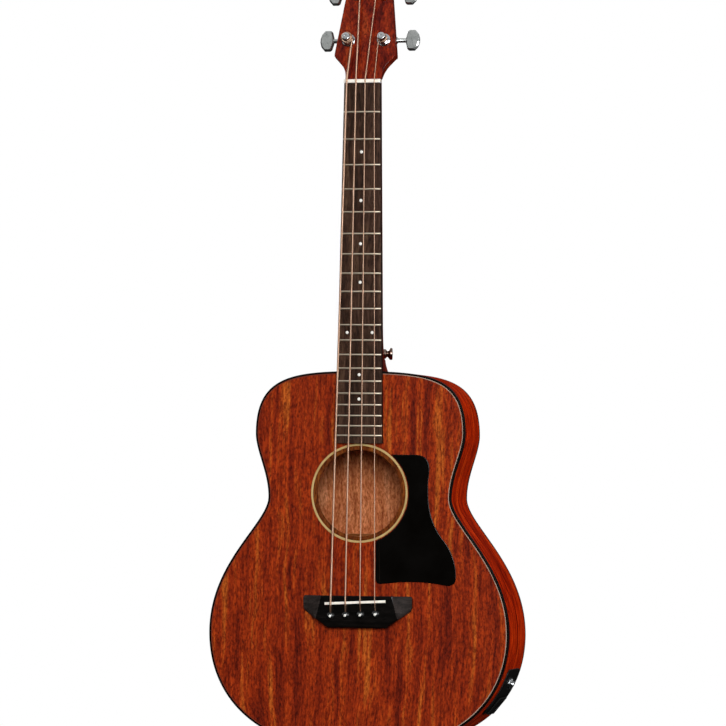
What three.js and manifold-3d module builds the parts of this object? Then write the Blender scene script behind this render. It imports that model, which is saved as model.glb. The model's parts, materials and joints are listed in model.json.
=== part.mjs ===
// An acoustic bass guitar: a small flat-top mahogany body, a mortised neck with twenty frets and four
// strings, closed tuners, and a battery box with the output jack in the lower treble side.
// Lengths are millimetres. +Z runs up the neck, the soundboard faces -Y and +X is the treble side.
// The origin is the middle of the end strap button's flat end, the lowest point of the instrument.

import * as THREE from "three";
import { mergeVertices } from "three/addons/utils/BufferGeometryUtils.js";
import Module from "manifold-3d";

const wasm = await Module();
wasm.setup();

// Fits shared by all the pieces
const gap = 0.3; // between neighbouring solids, for glue or running
const overrun = 6; // how far a cutter reaches past what it cuts
const weld = 0.001; // points closer than this are one point
const fitSteps = 24; // halvings when a place is found by trial

// Scale and layout along the neck
const scaleLength = 597; // nut to the nominal saddle line
const fretCount = 20;
const joinFret = 14; // the fret at the edge of the body
const joinRise = 3.2; // from that fret down to the body's edge

// Body: outline, seen from the front
const bodyLength = 440;
const upperBoutWidth = 249;
const waistWidth = 217;
const lowerBoutWidth = 356;
const upperBoutShare = 0.164; // where each width lies, as a share of the length from the neck end
const waistShare = 0.3335;
const lowerBoutShare = 0.69;
const shoulderShares = [0.66, 0.92]; // handle lengths of the outline's four curves
const upperFlankShares = [0.28, 0.382];
const lowerFlankShares = [0.193, 0.516];
const tailShares = [0.485, 0.75];
const outlineStations = 64; // points round the whole outline

// Body: walls
const neckDepth = 78; // side depth at the neck end
const tailDepth = 112;
const backArch = 4; // rise of the arched back across the lower bout
const topThickness = 2.8;
const backThickness = 2.8;
const sideThickness = 2.6;
const bindingWidth = 1.6;
const bindingDepth = 5;
const backSteps = 6; // across the arched back

// Body: inside
const liningWidth = 6;
const liningHeight = 14;
const liningToeShare = 0.4; // width of a lining's far edge, as a share of its width
const neckBlockWidth = 70;
const neckBlockLength = 52;
const tailBlockWidth = 62;
const tailBlockLength = 16;
const tailBlockNotch = 3.5; // extra room round the lining, where the block is notched over it
const braceWidth = 8;
const braceHeight = 12;
const braceEndHeight = 4;
const braceTaper = 38; // length of the thinned end of a brace
const xBraceInset = 24; // from the soundhole's edge to the crossing of the X brace
const xBraceSlope = 1.11; // of each leg: across for each unit along the centre line
const crossBraceInset = 78; // from the body's neck end to the brace above the soundhole
const wrenchHoleRadius = 5; // lets the truss rod key pass through that brace
const backBraceShares = [0.19, 0.44, 0.7, 0.88]; // along the body from the neck end
const backBraceWidth = 9;
const backBraceHeight = 13;
const bridgePlateWidth = 76;
const bridgePlateOverhang = 3; // past the bridge's long edges
const bridgePlateThickness = 2.6;

// Soundhole and its ring, just below the fretboard's end
const soundholeRadius = 50;
const rosetteInnerRadius = 54.2;
const rosetteWidth = 3.2;
const rosetteDepth = 1.2;
const roundSteps = 20; // segments of a half circle

// Fretboard and frets
const nutWidth = 43;
const boardEndWidth = 55.6;
const boardTail = 9; // from the last fret to the board's end
const boardThickness = 6.4;
const boardCamber = 0.6; // how much the edges lie below the middle
const camberSteps = 3;
const fretFoot = 2.6; // width of a fret where it meets the board
const fretCrown = 1.4; // width across its rounded top
const fretHeight = 1;

// Neck and heel
const neckThickness = 15.6; // behind the fretboard, at the nut
const neckThicknessAtHeel = 17.6;
const neckRoundness = 2.3; // exponent of the superellipse of the neck's back
const heelRoundness = 3.6;
const heelFoot = 14; // thickness of the heel's cap, along the neck
const heelReach = 62; // from the body to where the heel fades into the neck
const heelShortfall = 1.5; // the heel ends this much in front of the back's edge
const heelCapShare = 0.54; // width of the heel's cap, as a share of the neck's width
const heelSteps = 7;
const sectionSteps = 12;
const tenonWidth = 20;
const tenonLength = 18;
const tenonDepth = 60; // from the soundboard's plane

// Truss rod
const rodRadius = 2.5;
const rodStart = 14; // from the nut to its far end
const rodNutRadius = 4;
const rodNutLength = 12;
const rodKeyRadius = 2.4; // of the hexagon socket, across its corners
const rodKeyDepth = 7;

// Headstock
const headTilt = THREE.MathUtils.degToRad(14);
const headThickness = 14.5;
const headLength = 143;
const headWidth = 73.4; // across the corners above the flare
const headTipWidth = 47;
const headCorner = 3; // rounding of those corners
const headTipCorner = 7;
const headTipCrown = 3; // rise of the curved end
const flareLength = 28.5;
const flareNeckShare = 0.49; // handles of the concave flare
const flareRiseShare = 0.6;
const flareWidthShare = 0.3;
const flareBlendShare = 0.45; // how much of the flare the rounded neck takes to turn square
const flareSteps = 6;
const headSquareness = 9; // superellipse exponent where the neck has become the headstock

// Nut
const nutLength = 5; // along the strings
const nutHeight = 8.4; // above the soundboard's plane
const nutSlotRise = 1.5; // from the board's top to the bottom of a string slot
const nutCrown = 1.2; // rounding towards the headstock

// Strings, from the bass side
const eStringDiameter = 2.4;
const aStringDiameter = 1.9;
const dStringDiameter = 1.45;
const gStringDiameter = 1.1;
const nutSpacing = 10.9;
const saddleSpacing = 17.4;
const pinSpacing = 17.8;
const nutShift = -1.4; // the strings run a little to the bass side of the centre line
const saddleShift = -3.5;
const pinShift = -3.8;
const stringHeight = 12.9; // underside of the strings at the saddle, above the soundboard
const stringSides = 8;
const ballRadius = 3;
const windingClear = 0.5; // between one turn on a post and the next
const windingSteps = 24; // per turn
const windingSides = 6;

// Bridge, saddle and pins
const bridgeLength = 129;
const bridgeBackLength = 70; // its lower, shorter edge
const bridgeDepth = 37;
const bridgeShoulder = 15.5; // straight part of each short end
const bridgeCorner = 2.5;
const bridgeHeight = 9.5;
const bridgeWingHeight = 4;
const bridgeWingLength = 11; // flat end part
const bridgeRamp = 7; // slope from the wing up to the middle
const bridgeChamfer = 2;
const bridgeLead = 7.6; // from its upper edge to the saddle
const compensation = 5; // added to the scale at the saddle
const saddleSlant = 0.047; // tangent of the saddle's angle, longer on the bass side
const saddleLength = 72;
const saddleThickness = 3;
const saddleOffset = -1.3;
const saddleSlotDepth = 6.2;
const saddleArch = 0.8;
const pickupThickness = 1.2;
const pinDrop = 14.5; // from the saddle to the pins
const pinHeadRadius = 4.4;
const pinHeadHeight = 3.2;
const pinCollarHeight = 1.4;
const pinRadius = 2.6;
const pinTipRadius = 2;
const pinLength = 22;
const pinSides = 10;

// Pickguard, placed from the middle of the soundhole
const guardThickness = 1.5;
const guardRingGap = 1.2; // to the soundhole's ring
const guardTop = 45; // upper edge, above the middle
const guardBridgeGap = 13.9; // from its lower edge down to the bridge
const guardRight = 115.5; // furthest reach to the treble side
const guardInner = 20.5; // the straight inner edge
const guardSteps = 6; // per curve of its outline
const guardNeckShares = [0.72, 0.7]; // where the narrow upper part lies across the width
const guardInnerCorner = 7; // rounding where the inner edge meets the lower edge

// Tuners, in the headstock's own frame
const lowerPostRise = 48; // from the nut
const upperPostRise = 105;
const lowerPostX = 21;
const upperPostX = 15;
const postRadius = 3.3;
const barrelRadius = 4.1;
const postHeight = 15.6;
const postCapHeight = 2;
const postCapRadius = 4.6;
const postSeat = 6; // how deep the post stands in its housing
const postHoleSlack = 0.4;
const sleeveRadius = 5;
const sleeveLength = 11;
const washerRadius = 8;
const washerThickness = 1.3;
const bushHeight = 3.7;
const bushRadius = 6;
const housingWidth = 18;
const housingDepth = 12;
const housingBelow = 9; // below and above the post's axis
const housingAbove = 15;
const housingCorner = 3;
const housingBevel = 1.4;
const shaftRadius = 2.6;
const shaftSeat = 10; // how deep the shaft enters the housing
const shaftCollarRadius = 4.2;
const shaftCollarLength = 2.2;
const buttonStart = 22.3; // from the post's axis to the near edge of the button
const buttonWidth = 16;
const buttonHeight = 24.5;
const buttonThickness = 6.6;
const buttonBevel = 1.3;
const turnedSides = 12;

// Strap buttons
const endButtonHeight = 13; // the body's lower edge stands this far above the origin
const buttonEndRadius = 7;
const buttonWaistRadius = 3.6;
const buttonBaseRadius = 5.6;
const buttonFlangeThickness = 2.4;
const strapScrewRadius = 2.1;
const endScrewLength = 15;
const heelButtonHeight = 10;
const heelButtonRise = 21; // above the body's neck end
const heelButtonInset = 27; // behind the soundboard's plane
const heelScrewLength = 12;
const conformDepth = 3; // how much of its base may be cut away to fit the heel

// Battery box and output jack
const plateDropShare = 0.8425; // the plate's middle, along the body from its neck end
const plateLength = 60; // along the side
const plateWidth = 66; // across the side
const plateInsetShare = 0.56; // of the side's depth there, from the soundboard to the plate's middle
const plateThickness = 1.6;
const plateSteps = 6;
const batteryLength = 48.5;
const batteryWidth = 26.2;
const batteryThickness = 17.2;
const batteryTerminalRadius = 3;
const batteryTerminalHeight = 1.6;
const trayWall = 1.2;
const trayFront = 2;
const trayLip = 3; // the front overlaps the box by this much
const trayFall = 14; // its middle, below the plate's middle
const trayGripDepth = 1;
const trayGripWidth = 14;
const trayGripHeight = 2.4;
const boxWall = 1.8;
const jackRise = 11; // its middle, above the plate's middle
const jackSeat = 0.8; // the barrel's shoulder, below the side's surface
const jackBore = 3.3;
const jackTubeRadius = 4.6;
const jackBarrelRadius = 6.5;
const jackNutRadius = 7.2;
const jackNutHeight = 2.4;
const jackReach = 4.6; // beyond the plate
const jackLength = 23; // inside the body

// Places worked out from the sizes above
const frontY = -tailDepth / 2;
const bodyBottomZ = endButtonHeight;
const bodyTopZ = bodyBottomZ + bodyLength;
const fretDistance = (fret) => scaleLength * (1 - 2 ** (-fret / 12));
const nutZ = bodyTopZ + joinRise + fretDistance(joinFret);
const boardLength = fretDistance(fretCount) + boardTail;
const rosetteOuterRadius = rosetteInnerRadius + rosetteWidth;
const soundholeZ = nutZ - boardLength - gap - rosetteOuterRadius;
const saddleZ = nutZ - scaleLength - compensation;
const bridgeTopZ = saddleZ + bridgeLead;
const plateDrop = bodyLength * plateDropShare;
const boardTopY = frontY - boardThickness;
const plateY = frontY + topThickness; // the soundboard's inner face
const rebate = bindingWidth + gap;
const rodInset = bindingDepth + rodRadius + 3 * gap; // its axis, behind the soundboard's plane
const barrelFoot = bushHeight + 2 * gap; // above the headstock's face
const wormOffset = postRadius + shaftRadius + 2 * gap; // from the post's axis up to the button's shaft
const fullTurn = 2 * Math.PI;

// Finishes, as MeshStandardMaterial values
const finish = (color, roughness, metalness = 0) =>
  new THREE.MeshStandardMaterial({ color, roughness, metalness });
const topMahogany = finish("#99451f", 0.42);
const sideMahogany = finish("#a43c16", 0.2);
const neckMahogany = finish("#722c18", 0.28);
const darkFretboard = finish("#4a3628", 0.6);
const blackPlastic = finish("#0c0c0c", 0.25);
const blackBridge = finish("#1b1918", 0.45);
const creamPlastic = finish("#d3c78f", 0.4);
const bone = finish("#efe9dc", 0.35);
const spruce = finish("#cfae7c", 0.75);
const chrome = finish("#c9cbcc", 0.12, 1);
const stringBronze = finish("#b98a63", 0.35, 1);
const steel = finish("#9b9d9e", 0.35, 1);
const batterySkin = finish("#3b3f42", 0.4);

const part = new THREE.Group();

// Turns a closed geometry into a solid: it merges the shared points and turns the faces outwards.
function solid(geometry, matrix) {
  const bare = geometry.index ? geometry.toNonIndexed() : geometry.clone();
  for (const name of Object.keys(bare.attributes)) {
    if (name !== "position") bare.deleteAttribute(name);
  }
  if (matrix) bare.applyMatrix4(matrix);
  const merged = mergeVertices(bare, weld);
  const points = merged.attributes.position.array;
  const corner = (i) => new THREE.Vector3().fromArray(points, 3 * i);
  const faces = [];
  let volume = 0;
  for (let i = 0; i < merged.index.count; i += 3) {
    const [a, b, c] = merged.index.array.slice(i, i + 3);
    if (a === b || b === c || c === a) continue;
    volume += corner(a).dot(corner(b).cross(corner(c)));
    faces.push(a, b, c);
  }
  if (volume < 0) faces.reverse();
  const mesh = new wasm.Mesh({ numProp: 3, vertProperties: points, triVerts: new Uint32Array(faces) });
  return new wasm.Manifold(mesh);
}

// Adds a named piece, from a geometry or a solid, with flat-shaded faces.
function piece(name, shape, material, parent = part) {
  const { vertProperties, triVerts } = (shape.isBufferGeometry ? solid(shape) : shape).getMesh();
  const indexed = new THREE.BufferGeometry();
  indexed.setAttribute("position", new THREE.BufferAttribute(vertProperties, 3));
  indexed.setIndex(new THREE.BufferAttribute(triVerts, 1));
  const geometry = indexed.toNonIndexed();
  geometry.computeVertexNormals();
  const mesh = new THREE.Mesh(geometry, material);
  mesh.name = name;
  parent.add(mesh);
  return mesh;
}

// Joins rings of equally many points into one skin, closed by caps or, where looped, by its first ring.
function skin(rings, looped = false) {
  const count = rings[0].length;
  const faces = [];
  const spans = looped ? rings.length : rings.length - 1;
  for (let i = 0; i < spans; i++) {
    const near = i * count;
    const far = ((i + 1) % rings.length) * count;
    for (let k = 0; k < count; k++) {
      const next = (k + 1) % count;
      faces.push(near + k, near + next, far + next, near + k, far + next, far + k);
    }
  }
  if (!looped) {
    const lastStart = (rings.length - 1) * count;
    for (const [a, b, c] of capFaces(rings[0])) faces.push(c, b, a);
    for (const [a, b, c] of capFaces(rings.at(-1))) faces.push(lastStart + a, lastStart + b, lastStart + c);
  }
  const geometry = new THREE.BufferGeometry().setFromPoints(rings.flat());
  geometry.setIndex(faces);
  return geometry;
}

// Triangles that fill a ring, seen along the ring's own normal.
function capFaces(ring) {
  const normal = new THREE.Vector3();
  ring.forEach((p, i) => {
    const q = ring[(i + 1) % ring.length];
    const [run, sum] = [p.clone().sub(q), p.clone().add(q)];
    normal.add(new THREE.Vector3(run.y * sum.z, run.z * sum.x, run.x * sum.y));
  });
  const flat = new THREE.Quaternion().setFromUnitVectors(normal.normalize(), new THREE.Vector3(0, 0, 1));
  const contour = ring.map((p) => {
    const turned = p.clone().applyQuaternion(flat);
    return new THREE.Vector2(turned.x, turned.y);
  });
  return THREE.ShapeUtils.triangulateShape(contour, []);
}

// A shape drawn in X and Z, thickened from its near face towards +Y.
function slab(shape, nearY, thickness, options = {}) {
  const geometry = new THREE.ExtrudeGeometry(shape, { depth: thickness, bevelEnabled: false, ...options });
  return geometry.rotateX(Math.PI / 2).translate(0, nearY + thickness, 0);
}

// A solid between two surfaces y(x, z) over a plan outline of X and Z points.
function between(plan, nearSurface, farSurface) {
  const raise = (surface) => plan.map((p) => new THREE.Vector3(p.x, surface(p.x, p.y), p.y));
  return skin([raise(nearSurface), raise(farSurface)]);
}

function box(x0, x1, y0, y1, z0, z1) {
  const geometry = new THREE.BoxGeometry(x1 - x0, y1 - y0, z1 - z0);
  return geometry.translate((x0 + x1) / 2, (y0 + y1) / 2, (z0 + z1) / 2);
}

// A turned piece: its profile is [radius, height] pairs, and its axis starts at a point and runs along a
// direction.
function turned(profile, origin, direction, sides = turnedSides) {
  const geometry = new THREE.LatheGeometry(profile.map(([r, h]) => new THREE.Vector2(r, h)), sides);
  const upright = new THREE.Quaternion().setFromUnitVectors(new THREE.Vector3(0, 1, 0), direction);
  return geometry.applyQuaternion(upright).translate(origin.x, origin.y, origin.z);
}

function rod(radius, from, to, sides = turnedSides) {
  const length = from.distanceTo(to);
  const direction = to.clone().sub(from).normalize();
  return turned([[0, 0], [radius, 0], [radius, length], [0, length]], from, direction, sides);
}

// A tube of even section along points, whose corners are mitred.
function tube(points, radius, sides = stringSides) {
  const rings = points.map((point, i) => {
    const before = points[Math.max(i - 1, 0)];
    const after = points[Math.min(i + 1, points.length - 1)];
    const along = after.clone().sub(before).normalize();
    const across = new THREE.Vector3(1, 0, 0).addScaledVector(along, -along.x).normalize();
    const outward = across.clone().cross(along);
    return Array.from({ length: sides }, (_, k) => {
      const angle = (k / sides) * fullTurn;
      const spoke = across.clone().multiplyScalar(radius * Math.cos(angle));
      return spoke.addScaledVector(outward, radius * Math.sin(angle)).add(point);
    });
  });
  return skin(rings);
}

function circle(x, z, radius, path = new THREE.Shape()) {
  path.absarc(x, z, radius, 0, fullTurn);
  return path;
}

// Body outline: four curves down the treble side, sampled evenly and mirrored to the bass side.
const outline = bodyOutline();

function bodyOutline() {
  const upper = new THREE.Vector2(upperBoutWidth / 2, upperBoutShare * bodyLength);
  const waist = new THREE.Vector2(waistWidth / 2, waistShare * bodyLength);
  const lower = new THREE.Vector2(lowerBoutWidth / 2, lowerBoutShare * bodyLength);
  const path = new THREE.Path();
  path.moveTo(0, 0);
  const [shoulder, bout] = shoulderShares;
  path.bezierCurveTo(shoulder * upper.x, 0, upper.x, upper.y * (1 - bout), upper.x, upper.y);
  flank(path, upper, waist, upperFlankShares);
  flank(path, waist, lower, lowerFlankShares);
  const tail = bodyLength - lower.y;
  const [side, end] = tailShares;
  path.bezierCurveTo(lower.x, lower.y + side * tail, end * lower.x, bodyLength, 0, bodyLength);
  const treble = path.getSpacedPoints(outlineStations / 2);
  const bass = treble.slice(1, -1).reverse();
  const points = [...treble, ...bass.map((p) => new THREE.Vector2(-p.x, p.y))];
  const upright = points.map((p) => new THREE.Vector2(p.x, bodyTopZ - p.y));
  return upright.map((point, i) => {
    const before = upright.at(i - 1);
    const after = upright[(i + 1) % upright.length];
    const along = after.clone().sub(before).normalize();
    return { point, inward: new THREE.Vector2(along.y, -along.x) };
  });
}

function flank(path, from, to, [leave, arrive]) {
  const run = to.y - from.y;
  path.bezierCurveTo(from.x, from.y + leave * run, to.x, to.y - arrive * run, to.x, to.y);
}

// The outline moved inwards, as X and Z points.
function insetOutline(inset) {
  return outline.map(({ point, inward }) => point.clone().addScaledVector(inward, inset));
}

// The back's outer surface: deeper towards the tail and arched across.
function backY(x, z) {
  const depth = tailDepth + ((neckDepth - tailDepth) * (z - bodyBottomZ)) / bodyLength;
  return frontY + depth + backArch * (1 - (x / (lowerBoutWidth / 2)) ** 2);
}

const backInnerY = (x, z) => backY(x, z) - backThickness;
const topY = () => frontY;

// A strip that follows the outline. Its section's corners are [inset, surface, offset from that surface].
function strip(section, stations = outline, looped = true) {
  const rings = stations.map(({ point, inward }) =>
    section.map(([inset, surface, offset]) => {
      const flat = point.clone().addScaledVector(inward, inset);
      return new THREE.Vector3(flat.x, surface(flat.x, flat.y) + offset, flat.y);
    }),
  );
  return skin(rings, looped);
}

// String table, from the bass side. Each entry knows its tuner and its turns round the post.
const strings = [
  { name: "e", side: -1, postX: lowerPostX, rise: lowerPostRise, diameter: eStringDiameter, turns: 2.25 },
  { name: "a", side: -1, postX: upperPostX, rise: upperPostRise, diameter: aStringDiameter, turns: 2.5 },
  { name: "d", side: 1, postX: upperPostX, rise: upperPostRise, diameter: dStringDiameter, turns: 2.5 },
  { name: "g", side: 1, postX: lowerPostX, rise: lowerPostRise, diameter: gStringDiameter, turns: 2.75 },
];

// The headstock's own frame: its face is the plane y = 0 and its length runs along +Z from the nut.
const head = new THREE.Group();
head.position.set(0, frontY, nutZ + nutLength);
head.rotation.x = -headTilt;
part.add(head);
head.updateMatrixWorld(true);
const headMatrix = head.matrixWorld;

// The saddle's own frame: X along the saddle, with its middle at the origin.
const saddleFrame = new THREE.Group();
saddleFrame.position.set(saddleOffset, 0, saddleZ + saddleOffset * saddleSlant);
saddleFrame.rotation.y = -Math.atan(saddleSlant);
part.add(saddleFrame);
saddleFrame.updateMatrixWorld(true);

strings.forEach((string, i) => {
  const { side, postX, rise, diameter } = string;
  const place = i - (strings.length - 1) / 2;
  const radius = diameter / 2;
  const coil = barrelRadius + gap + radius;
  string.radius = radius;
  string.coil = coil;
  string.post = new THREE.Vector3(side * postX, 0, rise);
  string.foot = -(barrelFoot + gap + radius); // height of the first turn, in the headstock's frame
  string.pitch = diameter + windingClear;
  string.nutX = place * nutSpacing + nutShift;
  const saddleX = place * saddleSpacing + saddleShift;
  const pinX = place * pinSpacing + pinShift;
  string.pin = new THREE.Vector3(pinX, frontY - bridgeHeight, saddleZ + pinX * saddleSlant - pinDrop);
  string.ball = new THREE.Vector3(
    pinX,
    plateY + gap + bridgePlateThickness + gap + ballRadius,
    string.pin.z + pinRadius + gap + radius,
  );
  const nutY = boardTopY - nutSlotRise - radius;
  const saddleTopY = frontY - stringHeight - radius;
  const saddleAt = saddleZ + saddleX * saddleSlant;
  const leave = new THREE.Vector3(side * postX - side * coil, string.foot, rise).applyMatrix4(headMatrix);
  string.route = [
    leave,
    new THREE.Vector3(string.nutX, nutY, nutZ + nutLength - nutCrown),
    new THREE.Vector3(string.nutX, nutY, nutZ),
    new THREE.Vector3(saddleX, saddleTopY, saddleAt),
    new THREE.Vector3(saddleX, saddleTopY, saddleAt - saddleThickness / 2),
    new THREE.Vector3(pinX, frontY - bridgeHeight - radius, string.ball.z),
    string.ball,
  ];
});

// Cutter that clears a string's way through the nut, the bridge, the pin and what lies under them.
function stringWay(string) {
  return solid(tube(string.route, string.radius + gap, stringSides));
}

// Top plate with the soundhole, the ring's groove and the holes for the pins
function topPlate() {
  const shape = new THREE.Shape(insetOutline(rebate).reverse());
  shape.holes.push(circle(0, soundholeZ, soundholeRadius, new THREE.Path()));
  const plate = solid(slab(shape, frontY, topThickness, { curveSegments: roundSteps }));
  const grooveShape = circle(0, soundholeZ, rosetteOuterRadius + gap);
  grooveShape.holes.push(circle(0, soundholeZ, rosetteInnerRadius - gap, new THREE.Path()));
  const options = { curveSegments: roundSteps };
  const groove = solid(slab(grooveShape, frontY - overrun, overrun + rosetteDepth + gap, options));
  return pierce(plate.subtract(groove));
}

// Cuts the four pin holes and string ways through a piece.
function pierce(shape) {
  let cut = shape;
  for (const string of strings) {
    cut = cut.subtract(pinHole(string)).subtract(stringWay(string));
  }
  return cut;
}

function pinHole({ pin }) {
  const from = new THREE.Vector3(pin.x, pin.y - overrun, pin.z);
  const to = new THREE.Vector3(pin.x, plateY + bridgePlateThickness + overrun, pin.z);
  return solid(rod(pinRadius + gap, from, to, pinSides));
}

piece("top_plate", topPlate(), topMahogany);

// Ring inlaid round the soundhole
function rosette() {
  const shape = circle(0, soundholeZ, rosetteOuterRadius);
  shape.holes.push(circle(0, soundholeZ, rosetteInnerRadius, new THREE.Path()));
  return slab(shape, frontY, rosetteDepth, { curveSegments: roundSteps });
}

piece("rosette_ring", rosette(), creamPlastic);

// Arched back: sections across it, from the neck end to the tail
function backPlate() {
  const treble = insetOutline(rebate).slice(1, outlineStations / 2);
  const rings = treble.map(({ x: half, y: z }) => {
    const xs = Array.from({ length: backSteps + 1 }, (_, k) => half * (1 - (2 * k) / backSteps));
    const outer = xs.map((x) => new THREE.Vector3(x, backY(x, z), z));
    const inner = xs.reverse().map((x) => new THREE.Vector3(x, backInnerY(x, z), z));
    return [...outer, ...inner];
  });
  return skin(rings);
}

piece("back_plate", backPlate(), sideMahogany);

// Sides: one bent rim, rebated for the two bindings, with its holes
const sideSection = [
  [rebate, topY, topThickness + gap],
  [rebate, topY, bindingDepth + gap],
  [0, topY, bindingDepth + gap],
  [0, backY, -bindingDepth - gap],
  [rebate, backY, -bindingDepth - gap],
  [rebate, backInnerY, -gap],
  [sideThickness, backInnerY, -gap],
  [sideThickness, topY, topThickness + gap],
];

// The treble side's own curve, seen from the front, and where a height lies on it, as a share of its length
const sideCurve = new THREE.CatmullRomCurve3(
  outline.slice(1, outlineStations / 2).map(({ point }) => new THREE.Vector3(point.x, 0, point.y)),
);
sideCurve.arcLengthDivisions = outlineStations * 8;

function heightShare(z) {
  let low = 0;
  let high = 1;
  for (let i = 0; i < fitSteps; i++) {
    const middle = (low + high) / 2;
    if (sideCurve.getPointAt(middle).z > z) low = middle;
    else high = middle;
  }
  return low;
}

// The side's outward direction at a share of its curve
function sideOut(share) {
  const along = sideCurve.getTangentAt(share);
  return new THREE.Vector3(-along.z, 0, along.x);
}

const plateZ = bodyTopZ - plateDrop;
const plateInset = plateInsetShare * (tailDepth + (neckDepth - tailDepth) * (1 - plateDropShare));

// A frame on the treble side, at the depth of the box's plate: X out of it, Y across it and Z up along it
function sideFrame(drop) {
  const share = heightShare(bodyTopZ - drop);
  const point = sideCurve.getPointAt(share);
  const out = sideOut(share);
  const across = new THREE.Vector3(0, 1, 0);
  const basis = new THREE.Matrix4().makeBasis(out, across, out.clone().cross(across));
  return basis.setPosition(point.x, frontY + plateInset, point.z);
}

const jackFrame = sideFrame(plateDrop - jackRise);
const trayFrame = sideFrame(plateDrop + trayFall);
const boxInnerWidth = batteryWidth + 2 * (trayWall + 2 * gap);
const boxInnerHeight = batteryThickness + trayWall + 3 * gap;
const boxInnerLength = batteryLength + batteryTerminalHeight + 2 * trayWall + 3 * gap;

function boxAround(margin, x0, x1) {
  const halfWidth = boxInnerWidth / 2 + margin;
  const halfHeight = boxInnerHeight / 2 + margin;
  return solid(box(x0, x1, -halfWidth, halfWidth, -halfHeight, halfHeight), trayFrame);
}

const jackPoint = (x) => new THREE.Vector3(x, 0, 0).applyMatrix4(jackFrame);
const endScrewTop = new THREE.Vector3(0, 0, bodyBottomZ + tailBlockLength * 2);
const endScrewHole = solid(rod(strapScrewRadius + gap, new THREE.Vector3(), endScrewTop));

function sides() {
  const tenonRoom = solid(tenon(gap));
  const jackHole = solid(rod(jackBarrelRadius + gap, jackPoint(-overrun * 2), jackPoint(overrun * 2)));
  const rim = solid(strip(sideSection));
  const boxHole = boxAround(boxWall + gap, -overrun * 2, overrun * 2);
  return rim.subtract(tenonRoom).subtract(boxHole).subtract(jackHole).subtract(endScrewHole);
}

// The neck's tenon, grown on all sides by a margin
function tenon(margin) {
  const half = tenonWidth / 2 + margin;
  const nearY = frontY + bindingDepth + 2 * gap - margin;
  const z0 = bodyTopZ - tenonLength - margin;
  return box(-half, half, nearY, frontY + tenonDepth + margin, z0, bodyTopZ + gap + overrun);
}

piece("sides", sides(), sideMahogany);

// Bindings on the corners of the top and the back
const topBindingSection = [
  [0, topY, 0],
  [0, topY, bindingDepth],
  [bindingWidth, topY, bindingDepth],
  [bindingWidth, topY, 0],
];
const backBindingSection = [
  [0, backY, -bindingDepth],
  [0, backY, 0],
  [bindingWidth, backY, 0],
  [bindingWidth, backY, -bindingDepth],
];
piece("top_binding", strip(topBindingSection), blackPlastic);
piece("back_binding", strip(backBindingSection), blackPlastic);

// Linings: glued inside the sides from the neck block round to the neck block
const blockInset = sideThickness + gap;
const liningStations = outline.filter(({ point }) => {
  const besideNeckBlock = Math.abs(point.x) < neckBlockWidth / 2 + 2 * gap + liningWidth;
  return !(besideNeckBlock && point.y > bodyTopZ - neckBlockLength);
});
const toe = liningWidth * liningToeShare;
const topLiningSection = [
  [blockInset, topY, topThickness + gap],
  [blockInset, topY, topThickness + gap + liningHeight],
  [blockInset + toe, topY, topThickness + gap + liningHeight],
  [blockInset + liningWidth, topY, topThickness + gap],
];
const backLiningSection = [
  [blockInset, backInnerY, -gap],
  [blockInset, backInnerY, -gap - liningHeight],
  [blockInset + toe, backInnerY, -gap - liningHeight],
  [blockInset + liningWidth, backInnerY, -gap],
];
piece("top_lining", strip(topLiningSection, liningStations, false), spruce);
piece("back_lining", strip(backLiningSection, liningStations, false), spruce);

// Neck block and tail block, shaped to the inside of the sides
function block(width, length, atNeck) {
  const inner = insetOutline(blockInset);
  const half = width / 2;
  const end = atNeck ? 1 : -1;
  const edge = inner.filter((p) => Math.abs(p.x) < half && end * (p.y - soundholeZ) > 0);
  edge.sort((p, q) => p.x - q.x);
  const cornerZ = (x) => {
    const outer = inner.filter((p) => end * (p.y - soundholeZ) > 0).sort((p, q) => p.x - q.x);
    const i = outer.findIndex((p) => p.x > x);
    const share = (x - outer[i - 1].x) / (outer[i].x - outer[i - 1].x);
    return outer[i - 1].y + share * (outer[i].y - outer[i - 1].y);
  };
  const farZ = (atNeck ? bodyTopZ : bodyBottomZ) - end * (blockInset + length);
  const plan = [
    new THREE.Vector2(-half, farZ),
    new THREE.Vector2(-half, cornerZ(-half)),
    ...edge,
    new THREE.Vector2(half, cornerZ(half)),
    new THREE.Vector2(half, farZ),
  ];
  return solid(between(plan, () => plateY + gap, (x, z) => backInnerY(x, z) - gap));
}

function neckBlock() {
  const rodRoom = rodCutter(rodRadius + gap, bodyTopZ, bodyTopZ - neckBlockLength * 2);
  return block(neckBlockWidth, neckBlockLength, true).subtract(solid(tenon(gap))).subtract(rodRoom);
}

function rodCutter(radius, fromZ, toZ) {
  const y = frontY + rodInset;
  return solid(rod(radius, new THREE.Vector3(0, y, fromZ), new THREE.Vector3(0, y, toZ)));
}

piece("neck_block", neckBlock(), spruce);

// The tail block is notched over the linings, which run on behind it.
function tailBlock() {
  const reach = blockInset + liningWidth + tailBlockNotch;
  const half = tailBlockWidth;
  const top = box(-half, half, frontY, plateY + liningHeight + 2 * gap, 0, bodyBottomZ + reach);
  const backEdge = backInnerY(0, bodyBottomZ) - liningHeight - backArch / 2;
  const bottom = box(-half, half, backEdge, backEdge + tailDepth, 0, bodyBottomZ + reach);
  const whole = block(tailBlockWidth, tailBlockLength, false);
  return whole.subtract(solid(top)).subtract(solid(bottom)).subtract(endScrewHole);
}

piece("tail_block", tailBlock(), spruce);

// Braces under the top: an X below the soundhole and a cross brace above it
function braceShape(back, fore) {
  const shape = new THREE.Shape();
  shape.moveTo(-back, 0);
  shape.lineTo(-back, braceEndHeight);
  shape.lineTo(-back + braceTaper, braceHeight);
  shape.lineTo(fore - braceTaper, braceHeight);
  shape.lineTo(fore, braceEndHeight);
  shape.lineTo(fore, 0);
  shape.closePath();
  return shape;
}

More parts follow.
